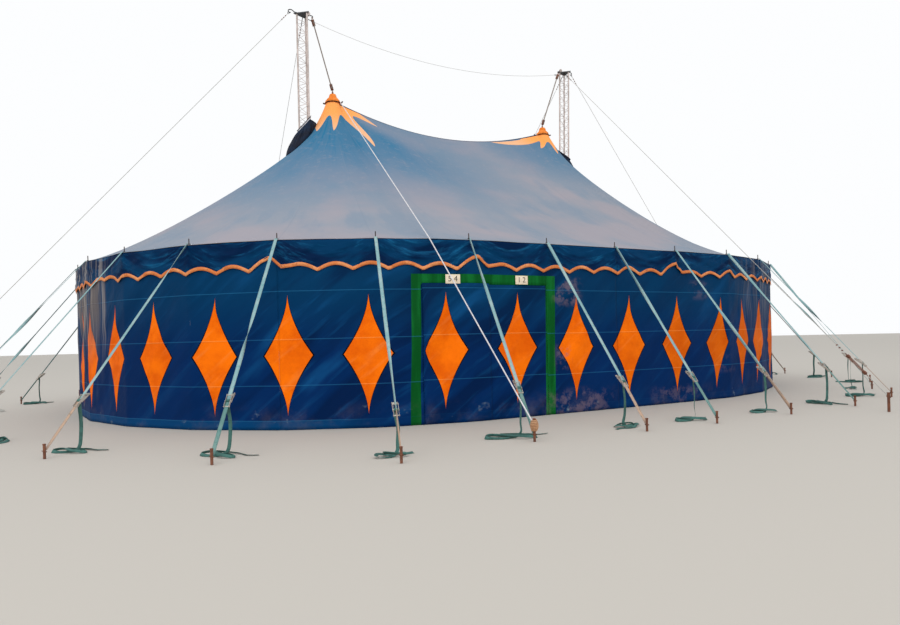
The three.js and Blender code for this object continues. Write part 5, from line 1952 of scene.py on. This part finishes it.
for side, name in ((-1, "left"), (1, "right")):
    centre = Vector((side * CUPOLA_X, 0, CUPOLA_EDGE + RING_HEIGHT / 2 + 0.0003))
    form = bmesh.new()
    place = Matrix.Translation(centre + Vector(((RING_INSIDE + RING_OUTSIDE) / 2, 0, 0)))
    size = Matrix.Diagonal((RING_OUTSIDE - RING_INSIDE, RING_HEIGHT, 1, 1))
    made = bmesh.ops.create_grid(form, x_segments=1, y_segments=1, size=0.5,
                                 matrix=place @ Matrix.Rotation(math.pi / 2, 4, "X") @ size)
    bmesh.ops.delete(form, geom=form.faces[:], context="FACES_ONLY")
    bmesh.ops.spin(form, geom=form.verts[:] + form.edges[:], cent=centre, axis=UP,
                   angle=2 * math.pi, steps=48, use_merge=True)
    reach = RING_INSIDE + 0.01
    for way in (Vector((1, 0, 0)), Vector((0, 1, 0))):
        rod(form, centre - way * reach, centre + way * reach, 0.011, 10)
    rod(form, centre, Vector((centre.x, 0, ROD_TOP)), ROD_RADIUS, 12)
    hoop(form, Vector((centre.x, 0, ROD_TOP - 0.012)), Vector((0, 1, 0)), 0.020, 0.007, 16, 8)
    piece = keep(form, "clamp_ring_" + name, rust_finish, rigid=True)
    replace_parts(piece, "cupola_ring_" + name)
print("cupola rings at", CUPOLA_EDGE, "m")

# %% [markdown]
# The cap's outline runs from the rod at the top down to the hem. Two noises make the cloth lumpy,
# except close to the rod, where it is pulled tight.

# %% Cupola caps
CAP_LOW = CUPOLA_EDGE + RING_HEIGHT + 0.002
# radius and height over the ring, from the rod down to the hem
CAP_OUTLINE = ((0.014, 0.166), (0.045, 0.172), (0.076, 0.157), (0.090, 0.124), (0.092, 0.094),
               (0.104, 0.070), (0.124, 0.047), (0.148, 0.024), (0.168, 0.000), (0.178, -0.032),
               (0.187, -0.078))
CAP_CLOTH = 0.004
TAPE_REACH, TAPE_BELOW, TAPE_WIDTH = 0.194, 0.045, 0.026
# the tape's two ends: their direction, how far they stick out, and how far each rises on the way
TAPE_END_TURN, TAPE_END_WIDTH = -28, 0.034
END_STEPS = (0.0, 0.015, 0.035, 0.050)
LOW_END, HIGH_END = (0.0, 0.004, 0.012, 0.022), (0.0, 0.010, 0.030, 0.055)


def cap_outline(share):
    place = share * (len(CAP_OUTLINE) - 1)
    index = min(int(place), len(CAP_OUTLINE) - 2)
    first, second = CAP_OUTLINE[index], CAP_OUTLINE[index + 1]
    part = place - index
    return tuple(a + (b - a) * part for a, b in zip(first, second))


for side, name in ((-1, "left"), (1, "right")):
    def carry_cap(u, v):
        angle = 2 * math.pi * u
        out, rise = cap_outline(1 - v)
        round_place = Vector((math.cos(angle), math.sin(angle), 0)) * 1.6
        lump = noise.noise(round_place * 1.3 + Vector((side * 3, 0, rise * 9)))
        pucker = noise.noise(round_place * 3.2 + Vector((0, side * 5, rise * 4)))
        out *= 1 + (0.10 * lump + 0.07 * pucker) * min(1.0, (1 - v) * 3)
        rise += (0.012 * lump + 0.006 * pucker) * (1 - v)
        if rise < 0.004:
            out = max(out, RING_OUTSIDE + 0.004)
        return Vector((side * CUPOLA_X + math.cos(angle) * out, math.sin(angle) * out, CAP_LOW + rise))

    form = cloth_grid(64, 26, carry_cap, lambda u, v: (u, v))
    bmesh.ops.remove_doubles(form, verts=form.verts, dist=0.0002)
    bmesh.ops.recalc_face_normals(form, faces=form.faces)
    cap = keep(form, "cap_cloth_" + name, cap_finish)
    cap_area = area_of(cap)
    thicken(cap, CAP_CLOTH)
    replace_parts(cap, "cupola_cap_" + name)
    tape = bmesh.new()
    centre = Vector((side * CUPOLA_X, 0, CUPOLA_EDGE - TAPE_BELOW + 0.016))
    path = []
    for step in range(49):
        angle = math.radians(-60 + side * 8) + 2 * math.pi * step / 48
        sway = 0.012 * noise.noise(Vector((math.cos(angle) * 3, math.sin(angle) * 3, side)))
        path.append(centre + Vector((math.cos(angle), math.sin(angle), 0)) * TAPE_REACH + UP * sway)
    ribbon(tape, path, TAPE_WIDTH, UP)
    for way in (-1, 1):
        # towards the left and the right as seen from the front
        angle = math.radians(TAPE_END_TURN if way > 0 else TAPE_END_TURN + 180)
        out = Vector((math.cos(angle), math.sin(angle), 0))
        rises = LOW_END if way == side else HIGH_END
        ends = [centre + out * (TAPE_REACH + step) + UP * rise for step, rise in zip(END_STEPS, rises)]
        ribbon(tape, smooth_path(ends, 3), TAPE_END_WIDTH, UP)
    thicken(keep(tape, "cap_tape_" + name, trim_finish), 0.004)
    print("cap", name, "area", round(cap_area, 3), "m2")

# %% [markdown]
# ## Sleeves of the masts
# Where a mast goes through the roof, a dark cloth sleeve is sewn to the canvas and tied round the
# mast. The left one stands up like a hood, higher on the side of the cupola, with deep hanging
# folds and pale lashing. The right one has slid down and lies low on the slope. Each is a grid
# of angle and height: its foot follows the roof, its neck the mast, and folds run up between.

# %% Places of the sleeves
# radius of the foot, height of the neck, how far the foot is off the mast, the neck's tilt, and
# how far the cloth bulges between them
SLEEVES = {-1: (0.38, 0.37, 0.11, -1.15, 0.010), 1: (0.33, 0.33, 0.13, -1.0, 0.065)}
NECK_SIDE, NECK_CORNER = 0.106, 0.188
NECK_FROM = 0.86
SLEEVE_CLOTH = 0.004
FOOT_DEPTH = 0.64
TIP_GORE = {-1: 3 * PERIMETER / 4, 1: PERIMETER / 4}


def roof_at_mast(side):
    step = 0.002
    share = step
    here = roof_point(TIP_GORE[side], share)
    while side * here.x < side * mast_axis(side, here.z).x:
        share += step
        here = roof_point(TIP_GORE[side], share)
    return here.z


ROOF_AT_MAST = {side: roof_at_mast(side) for side in (-1, 1)}
print("canvas height at the masts", {side: round(ROOF_AT_MAST[side], 2) for side in (-1, 1)})

# %% [markdown]
# From the neck, which is pulled tight round the mast's three chords, the cloth widens to its foot
# on the roof. Wherever it would cut into the mast it is pushed outwards.

# %% Sleeves
def neck_reach(angle):
    # the neck is pulled tight round three chords, so it has three flat sides
    third = 2 * math.pi / 3
    off = (angle - MAST_TURN) % third - third / 2
    return min(NECK_CORNER, NECK_SIDE / math.cos(off))


def neck_point(side, angle, above=0.0, wider=0.0):
    skirt, tall, shift, tilt, bulge = SLEEVES[side]
    out = neck_reach(angle) + wider
    height = ROOF_AT_MAST[side] + tall + tilt * side * math.cos(angle) * out + above
    return mast_axis(side, height) + Vector((math.cos(angle) * out, math.sin(angle) * out, 0))


def foot_point(side, angle):
    skirt, tall, shift, tilt, bulge = SLEEVES[side]
    middle = mast_axis(side, ROOF_AT_MAST[side]) + Vector((side * shift, 0, 0))
    x, y = middle.x + math.cos(angle) * skirt, math.sin(angle) * skirt * FOOT_DEPTH
    return Vector((x, y, roof_surface.ray_cast(Vector((x, y, 20)), -UP)[0].z + 0.010))


for side, name in ((-1, "left"), (1, "right")):
    skirt, tall, shift, tilt, bulge = SLEEVES[side]

    def carry_sleeve(u, v):
        angle = 2 * math.pi * u
        outwards = Vector((math.cos(angle), math.sin(angle), 0))
        if v >= NECK_FROM:
            part = (v - NECK_FROM) / (1 - NECK_FROM)
            return neck_point(side, angle, 0.05 * part, 0.024 * part * part)
        share = v / NECK_FROM
        foot, neck = foot_point(side, angle), neck_point(side, angle)
        spot = foot.lerp(neck, share ** 1.15)
        spot.z = foot.z + (neck.z - foot.z) * share ** 0.85
        fold = noise.noise(outwards * 4.5 + Vector((side * 2, 0, v * 1.2)))
        deep = abs(noise.noise(outwards * 2.6 + Vector((0, side * 4, v * 2.0))))
        free = math.sin(math.pi * share) * skirt / SLEEVES[-1][0]
        axis = mast_axis(side, spot.z)
        spot += outwards * (0.045 * fold - 0.050 * deep + bulge) * free
        reach = (spot - axis).length
        if reach < neck_reach(angle):
            spot += outwards * (neck_reach(angle) - reach)
        return spot

    form = cloth_grid(120, 34, carry_sleeve, lambda u, v: (u * 2 * math.pi * skirt, v * tall))
    bmesh.ops.remove_doubles(form, verts=form.verts, dist=0.0002)
    bmesh.ops.recalc_face_normals(form, faces=form.faces)
    sleeve = keep(form, "sleeve_cloth_" + name, sleeve_finish)
    thicken(sleeve, SLEEVE_CLOTH)
    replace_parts(sleeve, "mast_sleeve_" + name)

# %% [markdown]
# The left sleeve's neck is lashed with three turns of rope, which climb round it as one helix.

# %% Lashing of the left sleeve
LASHING_TURNS, LASHING_STEPS = 3, 36
path = []
for step in range(LASHING_TURNS * LASHING_STEPS + 1):
    angle = 2 * math.pi * step / LASHING_STEPS
    path.append(neck_point(-1, angle, 0.012 * (step / LASHING_STEPS - 1.5) + 0.005, 0.008))
form = bmesh.new()
tube(form, path, 0.005, 6)
keep(form, "sleeve_lashing", rope_finish, rigid=True)
print("lashing", round(lengths_along(path)[-1], 2), "m")

# %% [markdown]
# ## Rope over the roof
# A white fibre rope is tied to the left ring, runs tight over the front of the roof and over the
# eave, and ends at a stake that stands higher out of the ground than its neighbours. The spare
# length is wound round the upper part of that stake in seven turns, with a short end left. The
# rope is taut, so its two runs are straight.

# %% Rope over the roof
ROPE_RADIUS = 0.0095
ROPE_HEAD_TURN = math.radians(-22.5)
ROPE_POLE = 30
ROPE_EAVE = -3.70
ROPE_LIFT = 0.018
KNOT_HEIGHT = 0.255
COIL_RADIUS = 0.0095
COIL_LOW, COIL_HIGH = 0.14, 0.285
TURNS, COIL_STEPS = 7, 16
# the short end, outwards and upwards from the end of the coil
SHORT_END = ((0.05, 0.01), (0.11, -0.03), (0.16, -0.075))

out = mitre(ROPE_POLE).normalized()
out = Vector((out.x, out.y, 0))
ring_side = RING_OUTSIDE + ROPE_RADIUS
head = Vector((ring_side * math.cos(ROPE_HEAD_TURN) - CUPOLA_X, ring_side * math.sin(ROPE_HEAD_TURN),
               CUPOLA_EDGE + RING_HEIGHT / 2))
eave = roof_point(ROPE_EAVE, 1.0) + out * ROPE_LIFT + UP * ROPE_LIFT
stake = stake_place(ROPE_POLE)
knot = stake - out * 0.045 + UP * KNOT_HEIGHT
form = bmesh.new()
tube(form, straight(head, eave, 30)[:-1] + [eave] + straight(eave, knot, 20)[1:], ROPE_RADIUS, 8)
piece = keep(form, "rope_over_roof", rope_finish, rigid=True)
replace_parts(piece, "roof_rope")
path = []
for step in range(TURNS * COIL_STEPS + 1):
    angle = 2 * math.pi * step / COIL_STEPS
    layer = 0.030 + 0.020 * math.sin(math.pi * step / (TURNS * COIL_STEPS))
    height = COIL_LOW + (COIL_HIGH - COIL_LOW) * step / (TURNS * COIL_STEPS)
    path.append(stake + Vector((math.cos(angle) * layer, math.sin(angle) * layer, height)))
spare = [path[-1] - out * aside + UP * rise for aside, rise in SHORT_END]
form = bmesh.new()
tube(form, path + smooth_path(spare, 3), COIL_RADIUS, 8)
keep(form, "rope_coil_on_stake", coil_finish, rigid=True)
print("rope", round((head - eave).length + (eave - knot).length, 2), "m")
